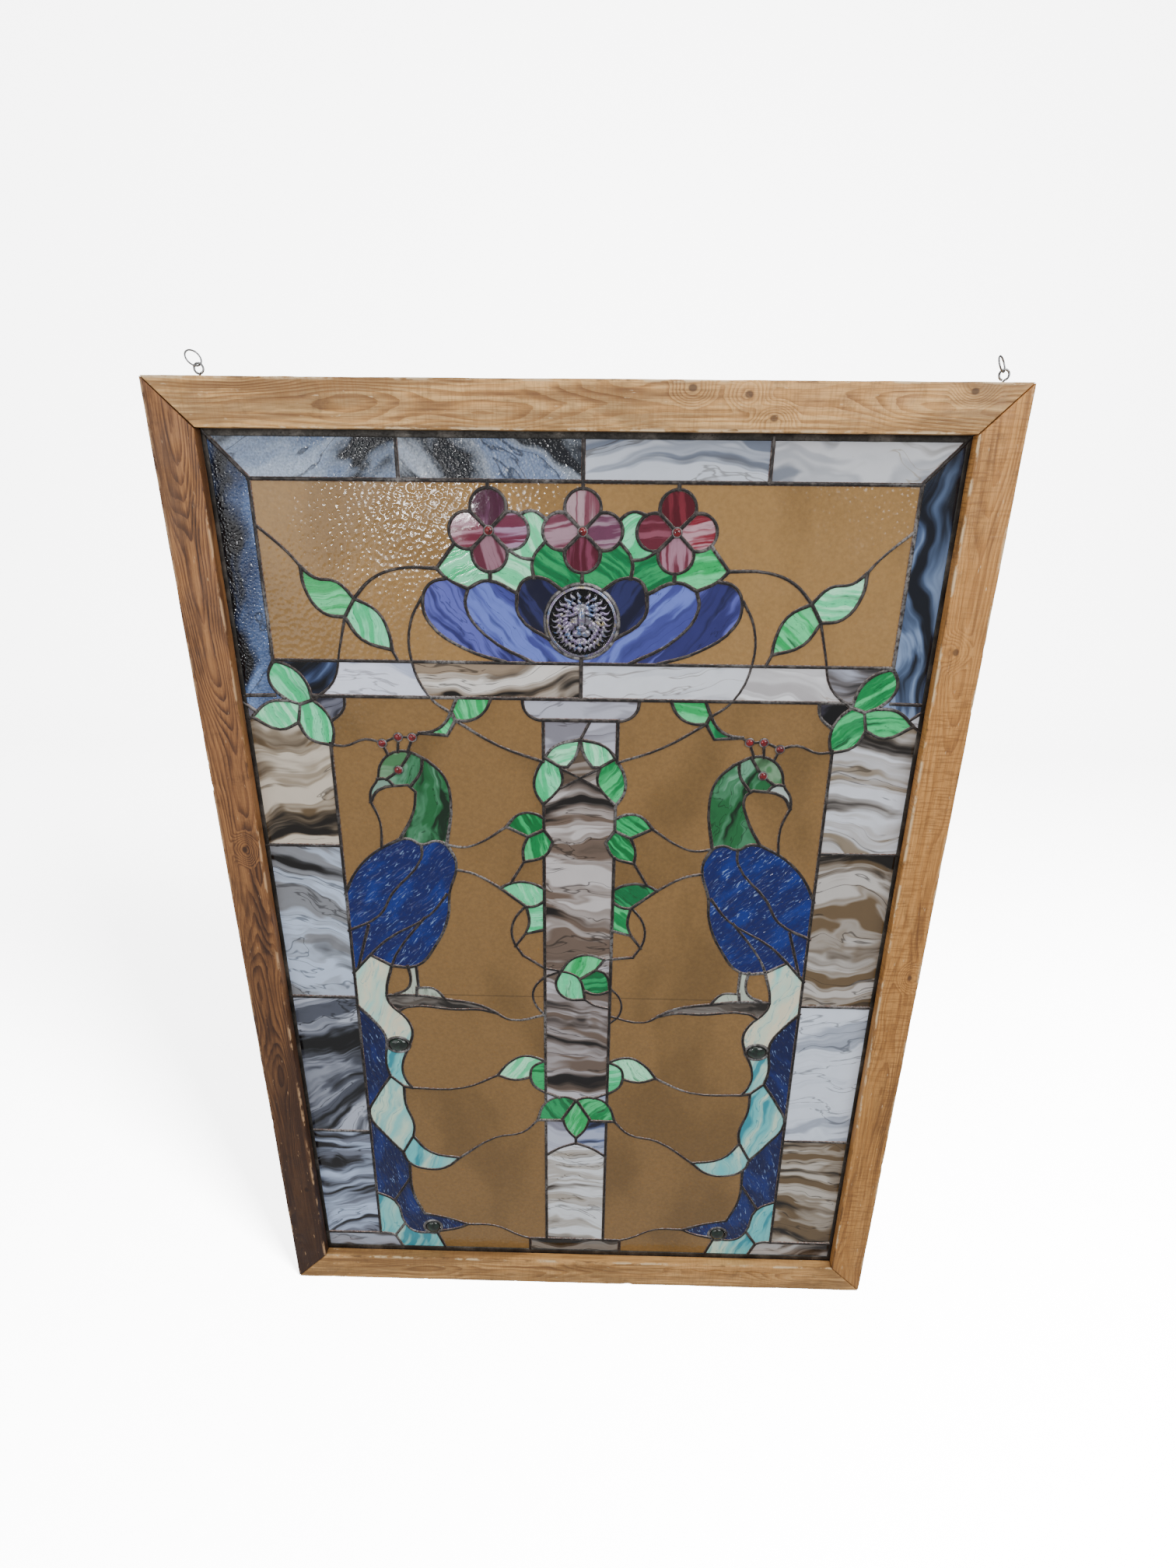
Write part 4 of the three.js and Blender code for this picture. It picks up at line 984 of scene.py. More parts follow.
def paneLook(node, x, z, draws):
    values = paneValues
    if "amber" in node:
        return plainLooks["amberHigh" if "top" in node else "amberLow"]
    if "flower_" in node:
        return flowerLook(node, x, z)
    if "leaves" in node:
        return leafLook(x, z, draws)
    if "bowl" in node:
        return bowlLook(x)
    if "border" in node or "lintel" in node:
        return nearest(borderLooks, x, z)
    if "column" in node:
        return nearest(columnLooks, x, z)
    if "head" in node:
        return plainLooks["beak" if abs(x) > values["beakX"] else "head" if z > values["headZ"] else "neck"]
    if "body" in node:
        return plainLooks["body"]
    if "tail_side" in node:
        return plainLooks["side"]
    if "tail" in node:
        return plainLooks["tailHigh" if "upper" in node and z > values["tailZ"] else "tailLow"]
    if "leg_and_branch" in node:
        return plainLooks["branch" if z < values["branchZ"] else
                          "amberLow" if abs(x) > values["legX"] else "leg"]
    return plainLooks["base"]


def paintPane(pane, look, draws):
    recipe, main, second, share, dark, darkShare, turn = look
    mesh = pane.data
    setMaterial(pane, glassMaterials[recipe])
    # Every pane is cut from its own part of the sheet.
    far, waver = paneValues["cutShift"], paneValues["turnWaver"]
    shift = [draws.uniform(-far, far) for _ in range(3)]
    angle = 2 * math.pi * (turn + draws.uniform(-waver, waver))
    values = dict(glassA=(*tint(main), 1), glassB=(*tint(second), share),
                  glassC=(*tint(dark), darkShare), paneFlow=(*shift, angle))
    for name, value in values.items():
        layer = mesh.color_attributes.new(name, "FLOAT_COLOR", "POINT")
        for point in layer.data:
            point.color = value


def tiltPane(pane, draws):
    # Hand-set panes don't lie quite in one plane.
    low = Vector([min(v.co[i] for v in pane.data.vertices) for i in range(3)])
    high = Vector([max(v.co[i] for v in pane.data.vertices) for i in range(3)])
    size = max(high.x - low.x, high.z - low.z)
    angles = [draws.uniform(-1, 1) * paneValues["tilt"] / size for _ in range(2)]
    turn = Matrix.Rotation(angles[0], 4, "X") @ Matrix.Rotation(angles[1], 4, "Z")
    middle = (low + high) / 2
    pane.data.transform(Matrix.Translation(middle) @ turn @ Matrix.Translation(-middle))


# The first word found in a node's name gives its slot.
glassSlots = dict(leaves="leaf_glass", tail_side="cobalt_glass", branch="grey_glass", flower="petal_glass",
                  bowl="periwinkle_glass", amber="amber_glass", border="opal_glass", lintel="opal_glass",
                  column_upper="opal_glass", column_lower="opal_glass", base="grey_glass",
                  head="neck_glass", body="cobalt_glass", tail="cream_glass")


def slotOf(node):
    return next((slot for word, slot in glassSlots.items() if word in node), "opal_glass")


def dressPanes():
    draws = random.Random(paneValues["seed"])
    for node in sorted(name for name in paneSorts if name and name.startswith("glass_")):
        group = sorted(paneSorts[node], key=lambda pane: tuple(round(v, 4) for v in middleOf(pane)))
        for pane in group:
            x, z = middleOf(pane)
            paintPane(pane, paneLook(node, x, z, draws), draws)
            tiltPane(pane, draws)
        finishPiece(joinAll(group, node.replace("glass_", "panes_")), slotOf(node), node)


def dropSpare():
    # Glass inside the round settings makes way for the mask and the nuggets.
    spare = [pane for name, group in paneSorts.items()
             if name is None or not name.startswith("glass_") for pane in group]
    if spare:
        deleteAll(spare)


dropSpare()
dressPanes()
print("panes: dressed")


# Beads of solder over every joint, the rings round the set-in pieces and the came.
beadValues = dict(endSwell=(1.05, 1.25), swell=(0.86, 1.06), ringSwell=(0.93, 1.07), cameBevel=0.0012)
beadDraws = random.Random(netValues["seed"])


def swellOf(end):
    return beadDraws.uniform(*beadValues["endSwell" if end else "swell"])


def makeBeads():
    halfDepth = (glassBackY - glassFrontY) / 2 + netValues["standProud"]
    beads = []
    for width in (wide, foil, vine):
        curve = newCurve("beads", width, halfDepth, 1)
        for lineWidth, points in netLines:
            if lineWidth == width:
                addSpline(curve, stretched(points), swellOf)
        beads.append(standUp(curve, glassMidY))
    for centre, radii, width in roundSets:
        beads.append(standingRing("ring", centre, radii, width, width, halfDepth, 2,
                                  lambda end: beadDraws.uniform(*beadValues["ringSwell"])))
    return beads


def makeCame():
    # A zinc channel round the edge of the panel, behind the lip of the boards.
    ring = newBox(*netBox)
    hole = fieldBox(netBox[0][1] - 0.01, netBox[1][1] + 0.01)
    addModifier(ring, "BOOLEAN", operation="DIFFERENCE", object=hole, solver="EXACT")
    addModifier(ring, "BEVEL", width=beadValues["cameBevel"], segments=3, limit_method="ANGLE")
    applyModifiers(ring)
    deleteAll([hole])
    return ring


solderValues = dict(
    patina="2e2c2c", worn="58524f", copper="84655a", dust="b3a8a2", sheenTint="a8a5a4",
    edgeFrom=0.35, edgeTo=0.85, grain=260, lumps=90, uneven=0.8, paintedSheen=0.55, metal=0.65,
)


def solderMaterial(values):
    # Dark patina on the crown of the bead, copper foil and pale flux along its sides.
    material, add, shader, place = newMaterial("solder_lines")
    facing = add("SeparateXYZ", {0: add("TexCoord").outputs["Normal"]}).outputs["Y"]
    lumps = noise(add, place, values["lumps"], 3, 0.6)
    fine = noise(add, place, values["grain"], 4, 0.6)
    broad = noise(add, place, 9, 2)
    top = blendColour(add, span(add, lumps, 0.45, 0.7), tint(values["patina"]), tint(values["worn"]))
    side = blendColour(add, span(add, fine, 0.42, 0.6), tint(values["copper"]), tint(values["dust"]))
    crown = plus(add, calc(add, "ABSOLUTE", facing), times(add, minus(add, lumps, 0.5), values["uneven"]))
    colour = blendColour(add, span(add, crown, values["edgeTo"], values["edgeFrom"]), top, side)
    # Pale grey patches where a broad and a fine noise meet are painted sheen on the solder.
    paintedSheen = times(add, span(add, broad, 0.52, 0.68), span(add, fine, 0.35, 0.6))
    colour = stainWith(add, colour, values["sheenTint"], paintedSheen, values["paintedSheen"])
    wireUp(shader, Base_Color=colour, Metallic=values["metal"],
           Roughness=span(add, fine, 0.3, 0.7, 0.34, 0.6),
           Normal=bump(add, lumps, 0.0006, 0.8, bump(add, fine, 0.0002, 0.6)))
    return material


ringValues = dict(dark="383635", mid="6d6a6a", pale="a9a7a6", grain=420, lumps=110, metal=0.55)
cameValues = dict(dark="23211f", mid="3c3935", pale="66615b", grain=500, lumps=25, metal=0.55)


def ringMaterial(values, name):
    # Bare tin solder and zinc, greyed and dusty.
    material, add, shader, place = newMaterial(name)
    lumps = noise(add, place, values["lumps"], 4, 0.6)
    fine = noise(add, place, values["grain"], 4, 0.65)
    colour = ramp(add, lumps, (0.32, values["dark"]), (0.5, values["mid"]), (0.68, values["pale"]))
    colour = stainWith(add, colour, values["dark"], span(add, fine, 0.55, 0.75))
    wireUp(shader, Base_Color=colour, Metallic=values["metal"],
           Roughness=span(add, fine, 0.3, 0.7, 0.3, 0.62),
           Normal=bump(add, lumps, 0.0009, 0.9, bump(add, fine, 0.0003, 0.7)))
    return material


def makeNet():
    beads = makeBeads()
    came = makeCame()
    lines = solderMaterial(solderValues)
    rings = ringMaterial(ringValues, "solder_rings")
    for bead in beads:
        setMaterial(bead, rings if bead.name.startswith("ring") else lines)
        mergeDoubles(bead)
    setMaterial(came, ringMaterial(cameValues, "zinc_came"))
    net = joinAll(beads + [came], "came_and_lines")
    smoothShade(net, 50)
    finishPiece(net, "solder", "came_and_solder")
    print("net: %d faces" % len(net.data.polygons))


makeNet()


# Boards: old planed softwood, mitred, with worn arrises, nicks and a long split.
innerLowZ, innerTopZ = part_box("board_bottom")[1][2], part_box("board_top")[0][2]
boardValues = dict(
    rebateWidth=0.008, mitreGap=0.0002, arris=0.0014, waver=0.0011, waverSize=0.05,
    wearReach=0.0050, cuts=(11, 11), seed=5, nicks=9, nickSize=(0.0012, 0.0034), nickStretch=(1.5, 5),
    nickTurn=0.3, nickSink=0.25, outerNicks=0.6, splitDepth=0.012, splitWaver=(0.7, 1.4), splitEnd=0.25,
)
splitLines = (                                # stations along the bottom board, and width
    (((0.118, 0.0425), (0.150, 0.0440), (0.171, 0.0405), (0.196, 0.0430), (0.224, 0.0385), (0.245, 0.0425),
      (0.268, 0.0390), (0.296, 0.0425), (0.330, 0.0380), (0.352, 0.0400)), 0.0016),
    (((0.224, 0.0385), (0.250, 0.0345), (0.282, 0.0350)), 0.0010),
)
boardFinishes = dict(
    left=dict(pale="b27c4a", mid="8f5f36", dark="4a2a16", worn="cfa67c", stain="2a170f", stainShare=0.34,
              rings=900, flame=0.010, contrast=0.70, saw=0.15, foot=0.90,
              knots=((0.13, 0.004), (-0.51, 0.012))),
    right=dict(pale="dca05a", mid="c08544", dark="7b5029", worn="efd2a4", stain="553a22", stainShare=0.28,
               rings=720, flame=0.006, contrast=0.42, saw=0.95, foot=0.15,
               knots=((0.42, -0.008), (-0.06, 0.012))),
    top=dict(pale="f6c785", mid="dea764", dark="8e5d2e", worn="f4d8ac", stain="46301f", stainShare=0.38,
             rings=720, flame=0.009, contrast=0.50, saw=0.5, foot=0.0,
             knots=((0.122, 0.018), (0.185, 0.012), (0.215, -0.012), (0.434, 0.017))),
    bottom=dict(pale="efbb78", mid="d39c5c", dark="855a32", worn="efd2a4", stain="50391f", stainShare=0.38,
                rings=720, flame=0.009, contrast=0.46, saw=0.4, knots=(), foot=0.0),
)
woodValues = dict(                            # alike in all four boards
    pithDepth=0.034, pithAcross=3.2, pithIn=4.0,   # the pith lies behind the face and wanders
    knotOval=1.3, knotReach=(0.032, 0.004), knotLift=0.007, knotWaver=0.006, knotEdge=(0.0062, 0.0035),
    lateRise=(0.25, 0.92), lateFall=(1.0, 0.93), ringStrength=(0.36, 0.62, 0.25, 1.0),
    streakBend=0.9, streakTone=1.1, streakLevel=0.32, fibreShare=0.42,
    footFrom=0.35, footTo=-0.70, stainLevel=(0.80, 0.98), stainDepth=0.5, knotDepth=0.8,
    sawSize=380, sawShare=0.5, dirtShare=0.38,
    arrisEdge=0.0008, grimeShare=0.7, wornShare=0.85, scuffShare=0.6,
)


def isUpright(name):
    return name in ("left", "right")


def yearRings(add, along, across, depth, drawnOut, finish):
    # How dark the late wood is at each point, and where the knots are.
    wood = woodValues
    broad = noise(add, drawnOut(0.22), 13, 3, 0.5)
    other = noise(add, mapped(add, drawnOut(0.22), shift=(5, 2, 1)), 10, 2, 0.5)
    swayA, swayB = (minus(add, value, 0.5) for value in (broad, other))
    sideways = plus(add, across, times(add, swayA, finish["flame"] * wood["pithAcross"]))
    inward = plus(add, minus(add, depth, wood["pithDepth"]),
                  times(add, swayB, finish["flame"] * wood["pithIn"]))
    radius = hypotenuse(add, sideways, inward)
    knotMask = None
    for knotAlong, knotAcross in finish["knots"]:
        spot = add("CombineXYZ", {"X": minus(add, along, knotAlong),
                                  "Y": times(add, minus(add, across, knotAcross), wood["knotOval"])})
        far = add("VectorMath", {0: spot.outputs[0]}, operation="LENGTH").outputs["Value"]
        radius = plus(add, radius, times(add, span(add, far, *wood["knotReach"]), wood["knotLift"]))
        here = span(add, plus(add, far, times(add, swayA, wood["knotWaver"])), *wood["knotEdge"])
        knotMask = here if knotMask is None else calc(add, "MAXIMUM", knotMask, here)
    streak = noise(add, drawnOut(0.035), 120, 5, 0.62)
    phase = plus(add, times(add, radius, finish["rings"]), times(add, streak, wood["streakBend"]))
    ring = calc(add, "FRACT", phase)
    late = times(add, span(add, ring, *wood["lateRise"]), span(add, ring, *wood["lateFall"]))
    # Some rings are strong and some hardly show.
    strength = span(add, noise(add, drawnOut(0.12), 26, 3, 0.6), *wood["ringStrength"])
    return times(add, late, strength), streak, knotMask


def woodMaterial(name, finish):
    wood, upright = woodValues, isUpright(name)
    material, add, shader, place = newMaterial("wood_" + name)
    low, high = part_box("board_" + name)
    middle = tuple((a + b) / 2 for a, b in zip(low, high))
    # Grain runs along the board, so everything is set out along, across and in depth.
    axes = add("SeparateXYZ", {0: vectorSum(add, place, middle, "SUBTRACT")}).outputs
    along, across, depth = (axes[axis] for axis in ("ZXY" if upright else "XZY"))

    def drawnOut(share):
        return add("CombineXYZ", {"X": times(add, along, share), "Y": across, "Z": depth}).outputs[0]

    late, streak, knotMask = yearRings(add, along, across, depth, drawnOut, finish)
    fibre = noise(add, drawnOut(0.03), 1100, 3, 0.65)
    tone = plus(add, times(add, late, finish["contrast"]),
                times(add, minus(add, streak, wood["streakLevel"]), wood["streakTone"]))
    colour = ramp(add, tone, (0.02, finish["pale"]), (0.36, finish["mid"]), (0.95, finish["dark"]))
    colour = stainWith(add, colour, finish["dark"], span(add, fibre, 0.46, 0.66), wood["fibreShare"])
    if finish["foot"]:
        # Upright boards darken towards the foot.
        colour = stainWith(add, colour, finish["stain"],
                           span(add, along, wood["footFrom"], wood["footTo"], 0.0, finish["foot"]))
    # Weathered stain, knots, saw marks across the grain and ground-in dirt.
    clouds = plus(add, noise(add, drawnOut(0.3), 8, 6, 0.68, 0.8), times(add, minus(add, streak, 0.5), 0.5))
    stain = span(add, clouds, *(level - finish["stainShare"] for level in wood["stainLevel"]))
    colour = stainWith(add, colour, finish["stain"], stain, wood["stainDepth"])
    if knotMask is not None:
        colour = stainWith(add, colour, finish["stain"], knotMask, wood["knotDepth"])
    sawMap = add("CombineXYZ", {"X": along, "Y": times(add, across, 0.10), "Z": times(add, depth, 0.10)})
    saw = noise(add, sawMap.outputs[0], wood["sawSize"], 2, 0.5)
    sawPatch = span(add, noise(add, drawnOut(0.3), 16, 2), 0.35, 0.6)
    sawMarks = times(add, times(add, span(add, saw, 0.50, 0.60), sawPatch), finish["saw"])
    colour = stainWith(add, colour, finish["dark"], sawMarks, wood["sawShare"])
    dirt = span(add, noise(add, place, 30, 6, 0.7), 0.55, 0.72)
    colour = stainWith(add, colour, finish["stain"], dirt, wood["dirtShare"])
    # The arrises are rubbed pale in places and grimy in others.
    halfWidth = (high[0] - low[0]) / 2 if upright else (high[2] - low[2]) / 2
    sideGap = minus(add, halfWidth, calc(add, "ABSOLUTE", across))
    faceGap = minus(add, (high[1] - low[1]) / 2, calc(add, "ABSOLUTE", depth))
    nearArris = span(add, hypotenuse(add, sideGap, faceGap), boardValues["wearReach"], wood["arrisEdge"])
    patchy = noise(add, drawnOut(0.35), 70, 5, 0.65)
    grime, rubbed = (times(add, nearArris, span(add, patchy, *levels))
                     for levels in ((0.44, 0.36), (0.50, 0.58)))
    colour = stainWith(add, colour, finish["stain"], grime, wood["grimeShare"])
    colour = stainWith(add, colour, finish["worn"], rubbed, wood["wornShare"])
    scuffs = span(add, noise(add, drawnOut(0.25), 190, 3, 0.6), 0.66, 0.74)
    colour = stainWith(add, colour, finish["worn"], scuffs, wood["scuffShare"])
    height = plus(add, times(add, late, -0.4), times(add, fibre, 0.6))
    wireUp(shader, Base_Color=colour, Roughness=span(add, noise(add, place, 40, 3), 0.3, 0.7, 0.45, 0.66),
           Normal=bump(add, height, 0.0006, 0.8, bump(add, saw, 0.0006, 0.2 + finish["saw"] * 0.6)))
    return material


def cutAway(thing, *cutters):
    for cutter in cutters:
        addModifier(thing, "BOOLEAN", operation="DIFFERENCE", object=cutter, solver="MANIFOLD")
    applyModifiers(thing)
    deleteAll(cutters)


def boardBlank(name):
    # A box with its mitres bisected off and the rebate taken out behind.
    blank = newBox(*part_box("board_" + name))
    upright = isUpright(name)
    sign = -1 if name in ("left", "bottom") else 1
    selectOnly(blank)
    bpy.ops.object.mode_set(mode="EDIT")
    for end in (-1, 1):
        topSide = (end if upright else sign) > 0
        rightSide = (sign if upright else end) > 0
        corner = Vector((sightX if rightSide else -sightX, 0, innerTopZ if topSide else innerLowZ))
        away = Vector((-sign, 0, end) if upright else (end, 0, -sign)).normalized()
        bpy.ops.mesh.select_all(action="SELECT")
        bpy.ops.mesh.bisect(plane_co=corner - away * boardValues["mitreGap"], plane_no=away,
                            clear_outer=True, use_fill=True)
    bpy.ops.object.mode_set(mode="OBJECT")
    width = boardValues["rebateWidth"]
    rebate = newBox((-sightX - width, netBox[0][1] - 0.0004, innerLowZ - width),
                    (sightX + width, backY + 0.01, innerTopZ + width))
    cutAway(blank, rebate)
    return blank


def splitLongEdges(thing, cuts, axis):
    # Edges that run along the board are cut, so that its faces can waver.
    runs = {}
    for edge in thing.data.edges:
        a, b = (thing.data.vertices[i].co for i in edge.vertices)
        run = abs((a - b)[axis])
        runs[edge.index] = run if run > 0.95 * (a - b).length else 0
    longest = max(runs.values())
    pickEdges(thing, lambda edge: runs[edge.index] > longest * 0.6)
    bpy.ops.mesh.subdivide(number_cuts=cuts, quadcorner="STRAIGHT_CUT")
    bpy.ops.object.mode_set(mode="OBJECT")


def makeNick(name, draws):
    # A stretched ball that takes a bite out of an edge of the board's face.
    values = boardValues
    low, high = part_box("board_" + name)
    along = draws.uniform(0.06, 0.94)
    outer = draws.random() < values["outerNicks"]
    size = draws.uniform(*values["nickSize"])
    bpy.ops.mesh.primitive_ico_sphere_add(subdivisions=2, radius=size)
    nick = newest()
    stretch = draws.uniform(*values["nickStretch"])
    nick.scale = (1, 1, stretch) if isUpright(name) else (stretch, 1, 1)
    nick.rotation_euler = [draws.uniform(-values["nickTurn"], values["nickTurn"]) for _ in range(3)]
    face = frontY - size * values["nickSink"]
    if isUpright(name):
        edge = low[0] if (name == "left") == outer else high[0]
        nick.location = (edge, face, low[2] + (high[2] - low[2]) * along)
    else:
        edge = high[2] if (name == "top") == outer else low[2]
        nick.location = (low[0] + (high[0] - low[0]) * along, face, edge)
    applyPlace(nick)
    return nick


def makeSplit(stations, width, draws):
    curve = newCurve("split", width, boardValues["splitDepth"], 0)
    addSpline(curve, [Vector((x, z + footZ)) for x, z in stations],
              lambda end: boardValues["splitEnd"] if end else draws.uniform(*boardValues["splitWaver"]))
    split = standUp(curve, frontY)
    mergeDoubles(split)
    return split


def makeBoards():
    draws = random.Random(boardValues["seed"])
    for name, finish in boardFinishes.items():
        board = boardBlank(name)
        addModifier(board, "BEVEL", width=boardValues["arris"], segments=3, limit_method="ANGLE",
                    angle_limit=math.radians(40))
        applyModifiers(board)
        for cuts in boardValues["cuts"]:
            splitLongEdges(board, cuts, 2 if isUpright(name) else 0)
        # Hand planing leaves the faces a little uneven.
        texture = bpy.data.textures.new("waver_" + name, "CLOUDS")
        texture.noise_scale = boardValues["waverSize"]
        addModifier(board, "DISPLACE", texture=texture, texture_coords="GLOBAL", direction="NORMAL",
                    strength=boardValues["waver"], mid_level=1.0)
        applyModifiers(board)
        cutters = [makeNick(name, draws) for _ in range(boardValues["nicks"])]
        if name == "bottom":
            cutters += [makeSplit(stations, width, draws) for stations, width in splitLines]
        cutAway(board, *cutters)
        board.name = board.data.name = "timber_" + name
        setMaterial(board, woodMaterial(name, finish))
        smoothShade(board, 35)
        finishPiece(board, "dark_wood" if name == "left" else "golden_wood", "board_" + name)
    print("boards: made")


makeBoards()


# The lion mask: a face among two tiers of mane locks on a round plate.
maskValues = dict(
    plateLap=0.0012, plateDepth=0.008, rimInset=0.0028, rimWire=0.0012, lockInset=0.0042,
    headOval=(0.0180, 0.0245), firstLock=0.04, shortestLock=0.007, levelBend=0.35,
    voxel=0.00058, relief=0.0014, cell=0.0010, faceScale=1.25,
    tiers=(
        dict(count=30, gap=0.0055, reach=0.0404, width=0.0020, bend=0.24, depth=0.0078),
        dict(count=26, gap=-0.0010, reach=0.0310, width=0.0020, bend=0.26, depth=0.0105),
    ),
    swing=(0, 0.55, 1.0, 0.95, 0.55), thick=(0.9, 1.15, 1.05, 0.7, 0.18), rise=(0.8, 1.0, 0.95, 0.75, 0.5),
)


def lump(x, z, depth, radii, turn=0.0):
    # Places and radii of the face are in millimetres.
    mm, wide = 0.001, 0.001 * maskValues["faceScale"]
    return newBall((x * wide, -depth * mm, z * wide), (radii[0] * wide, radii[1] * mm, radii[2] * wide),
                   rotation=(0, turn, 0))


def lock(angle, start, end, width, bend, depth):
    # One lock of the mane: an S that starts thick at the head and curls to a point.
    points = []
    for i, (swing, rise) in enumerate(zip(maskValues["swing"], maskValues["rise"])):
        around = angle + bend * swing
        out = start + (end - start) * i / 4
        points.append((out * math.cos(around), -depth * rise, out * math.sin(around)))
    return tube("lock", points, width, 2, 12, swell=maskValues["thick"])


def lionFace():
    bits = [
        lump(0, 0, 3.5, (15, 9.0, 20)),                            # head
        lump(0, 13, 8.6, (10, 3.6, 6)),                            # forehead
        lump(0, 4.5, 11.4, (3.8, 3.4, 11)),                        # bridge of the nose
        lump(0, -5.0, 13.4, (5.6, 2.4, 3.0)),                      # nose
        lump(0, -17.0, 8.2, (5.6, 3.8, 3.8)),                      # chin
    ]
    for side in (-1, 1):
        bits += [
            lump(side * 7.6, 8.8, 10.4, (6.6, 2.9, 2.1), turn=side * 0.36),        # brow
            lump(side * 7.2, 4.0, 9.6, (2.6, 1.8, 1.4), turn=side * -0.15),        # eye
            lump(side * 9.4, -3.0, 7.8, (5.0, 3.8, 6.0), turn=side * 0.25),        # cheek
            lump(side * 4.2, -10.0, 10.8, (5.2, 3.6, 4.2)),                        # muzzle
            lump(side * 13.2, 16.6, 8, (3.4, 2.8, 3.4), turn=side * 0.5),          # ear
        ]
    return bits


def maneLocks(plateRadius):
    # Locks start at the oval of the head and sweep downwards on both sides.
    values, locks = maskValues, []
    headWide, headHigh = values["headOval"]
    for tier in values["tiers"]:
        for i in range(tier["count"]):
            angle = 2 * math.pi * (i + 0.5) / tier["count"] + values["firstLock"]
            head = 1 / math.hypot(math.cos(angle) / headWide, math.sin(angle) / headHigh)
            level = values["levelBend"] + (1 - values["levelBend"]) * abs(math.cos(angle))
            bend = -tier["bend"] * (1 if math.cos(angle) > 0 else -1) * level
            start = head + tier["gap"]
            reach = max(tier["reach"], start + values["shortestLock"])
            locks.append(lock(angle, start, min(reach, plateRadius - values["lockInset"]),
                              tier["width"], bend, tier["depth"]))
    return locks


def markRelief(thing, values):
    # How far each point stands in front of what lies round it, kept on the mesh to paint shade in the
    # hollows and highlight on the raised parts of the lustre.
    def cellOf(vertex):
        return round(vertex.co.x / values["cell"]), round(vertex.co.z / values["cell"])

    heaps = {}
    for vertex in thing.data.vertices:
        if vertex.normal.y <= 0.1:
            total, count = heaps.get(cellOf(vertex), (0.0, 0))
            heaps[cellOf(vertex)] = (total + vertex.co.y, count + 1)
    around = {}
    for column, row in heaps:
        near = [heaps[column + i, row + j] for i in range(-2, 3) for j in range(-2, 3)
                if (column + i, row + j) in heaps]
        around[column, row] = sum(n[0] for n in near) / sum(n[1] for n in near)
    relief = thing.data.attributes.new("relief", "FLOAT", "POINT")
    for i, vertex in enumerate(thing.data.vertices):
        proud = around.get(cellOf(vertex), vertex.co.y) - vertex.co.y
        relief.data[i].value = 0.5 + proud / values["relief"] / 2


def makeMask():
    values = maskValues
    x, z = placed((0, netValues["medallionZ"]))
    plateRadius = netValues["medallionRadius"] + values["plateLap"]
    flat = (math.pi / 2, 0, 0)
    bpy.ops.mesh.primitive_cylinder_add(vertices=72, radius=plateRadius, depth=values["plateDepth"],
                                        location=(0, -0.001, 0), rotation=flat)
    plate = newest()
    rim = newTorus((0, -0.0052, 0), plateRadius - values["rimInset"], values["rimWire"], 72, 10, flat)
    mask = joinAll([plate, rim] + lionFace() + maneLocks(plateRadius), "lion_mask")
    applyPlace(mask)
    addModifier(mask, "REMESH", mode="VOXEL", voxel_size=values["voxel"])
    addModifier(mask, "SMOOTH", factor=0.5, iterations=3)
    applyModifiers(mask)
    markRelief(mask, values)
    mask.location = (x, glassMidY, z)
    applyPlace(mask)
    smoothShade(mask, 60)
    setMaterial(mask, lustreMaterial(lustreValues))
    finishPiece(mask, "lustre_glass", "lion_medallion")
    print("mask: %d faces" % len(mask.data.polygons))


lustreValues = dict(
    black="060608", blue="6479a6", violet="7b6a92", gold="a3966c", silver="9a989f", size=70,
    depths=(0.014, 0.002, -0.30, 0.28),       # behind the front, and what is added to the relief there
    hollowShade=(0.84, 0.36), worn=0.3, metal=0.75, coat=0.5, coatRough=0.08,
)


def lustreMaterial(values):
    # A metal lustre on dark glass, with thin patches of tints. Painted shade turns the hollows and the back
    # black; the raised and forward parts keep the silver tints as painted highlight.
    material, add, shader, place = newMaterial("lustre_glass")
    drift = noise(add, place, values["size"], 3, 0.6, 1.0)
    tints = ramp(add, drift, (0.36, values["blue"]), (0.45, values["silver"]), (0.52, values["violet"]),
                 (0.60, values["silver"]), (0.68, values["gold"]))
    worn = noise(add, place, values["size"] * 4, 4, 0.6)
    relief = add("Attribute", attribute_name="relief").outputs["Fac"]
    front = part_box("lion_medallion")[0][1]
    back, near, least, most = values["depths"]
    # The further forward a point stands, the higher its level: painted highlight on the front of the face.
    height = span(add, add("SeparateXYZ", {0: place}).outputs["Y"], front + back, front + near, least, most)
    level = plus(add, plus(add, relief, height), times(add, minus(add, worn, 0.5), values["worn"]))
    # Painted shade: black over the tints where the level is low, in the hollows and towards the plate, with
    # a noise breaking up its edge.
    colour = stainWith(add, tints, values["black"], span(add, level, *values["hollowShade"]))
    fine = noise(add, place, 500, 2, 0.5)
    wireUp(shader, Base_Color=colour, Metallic=values["metal"],
           Roughness=span(add, fine, 0.3, 0.7, 0.18, 0.32), Normal=bump(add, fine, 0.00012, 0.4),
           Coat_Weight=values["coat"], Coat_Roughness=values["coatRough"])
    return material


makeMask()


# Stones: flower centres, crests and eyes, and the dark nuggets in the tails.
stoneValues = dict(radius=0.0053, rise=0.0031, rim=0.0014, proud=0.0006, rimProud=0.0001,
                   nuggetDepth=0.0072, coat=0.5, ruby=("780510", "2c0206", "9c0c16"),
                   dark=("0d2018", "050a08", "1d3a2c"))
birdStones = ((-0.266, 1.004), (-0.244, 1.013), (-0.225, 1.013), (-0.247, 0.966))     # crest and eye
stonePlaces = [(step * netValues["flowerSpacing"], netValues["flowerZ"]) for step in (-1, 0, 1)]
for side in (1, -1):
    stonePlaces += [(side * x, z) for x, z in birdStones]


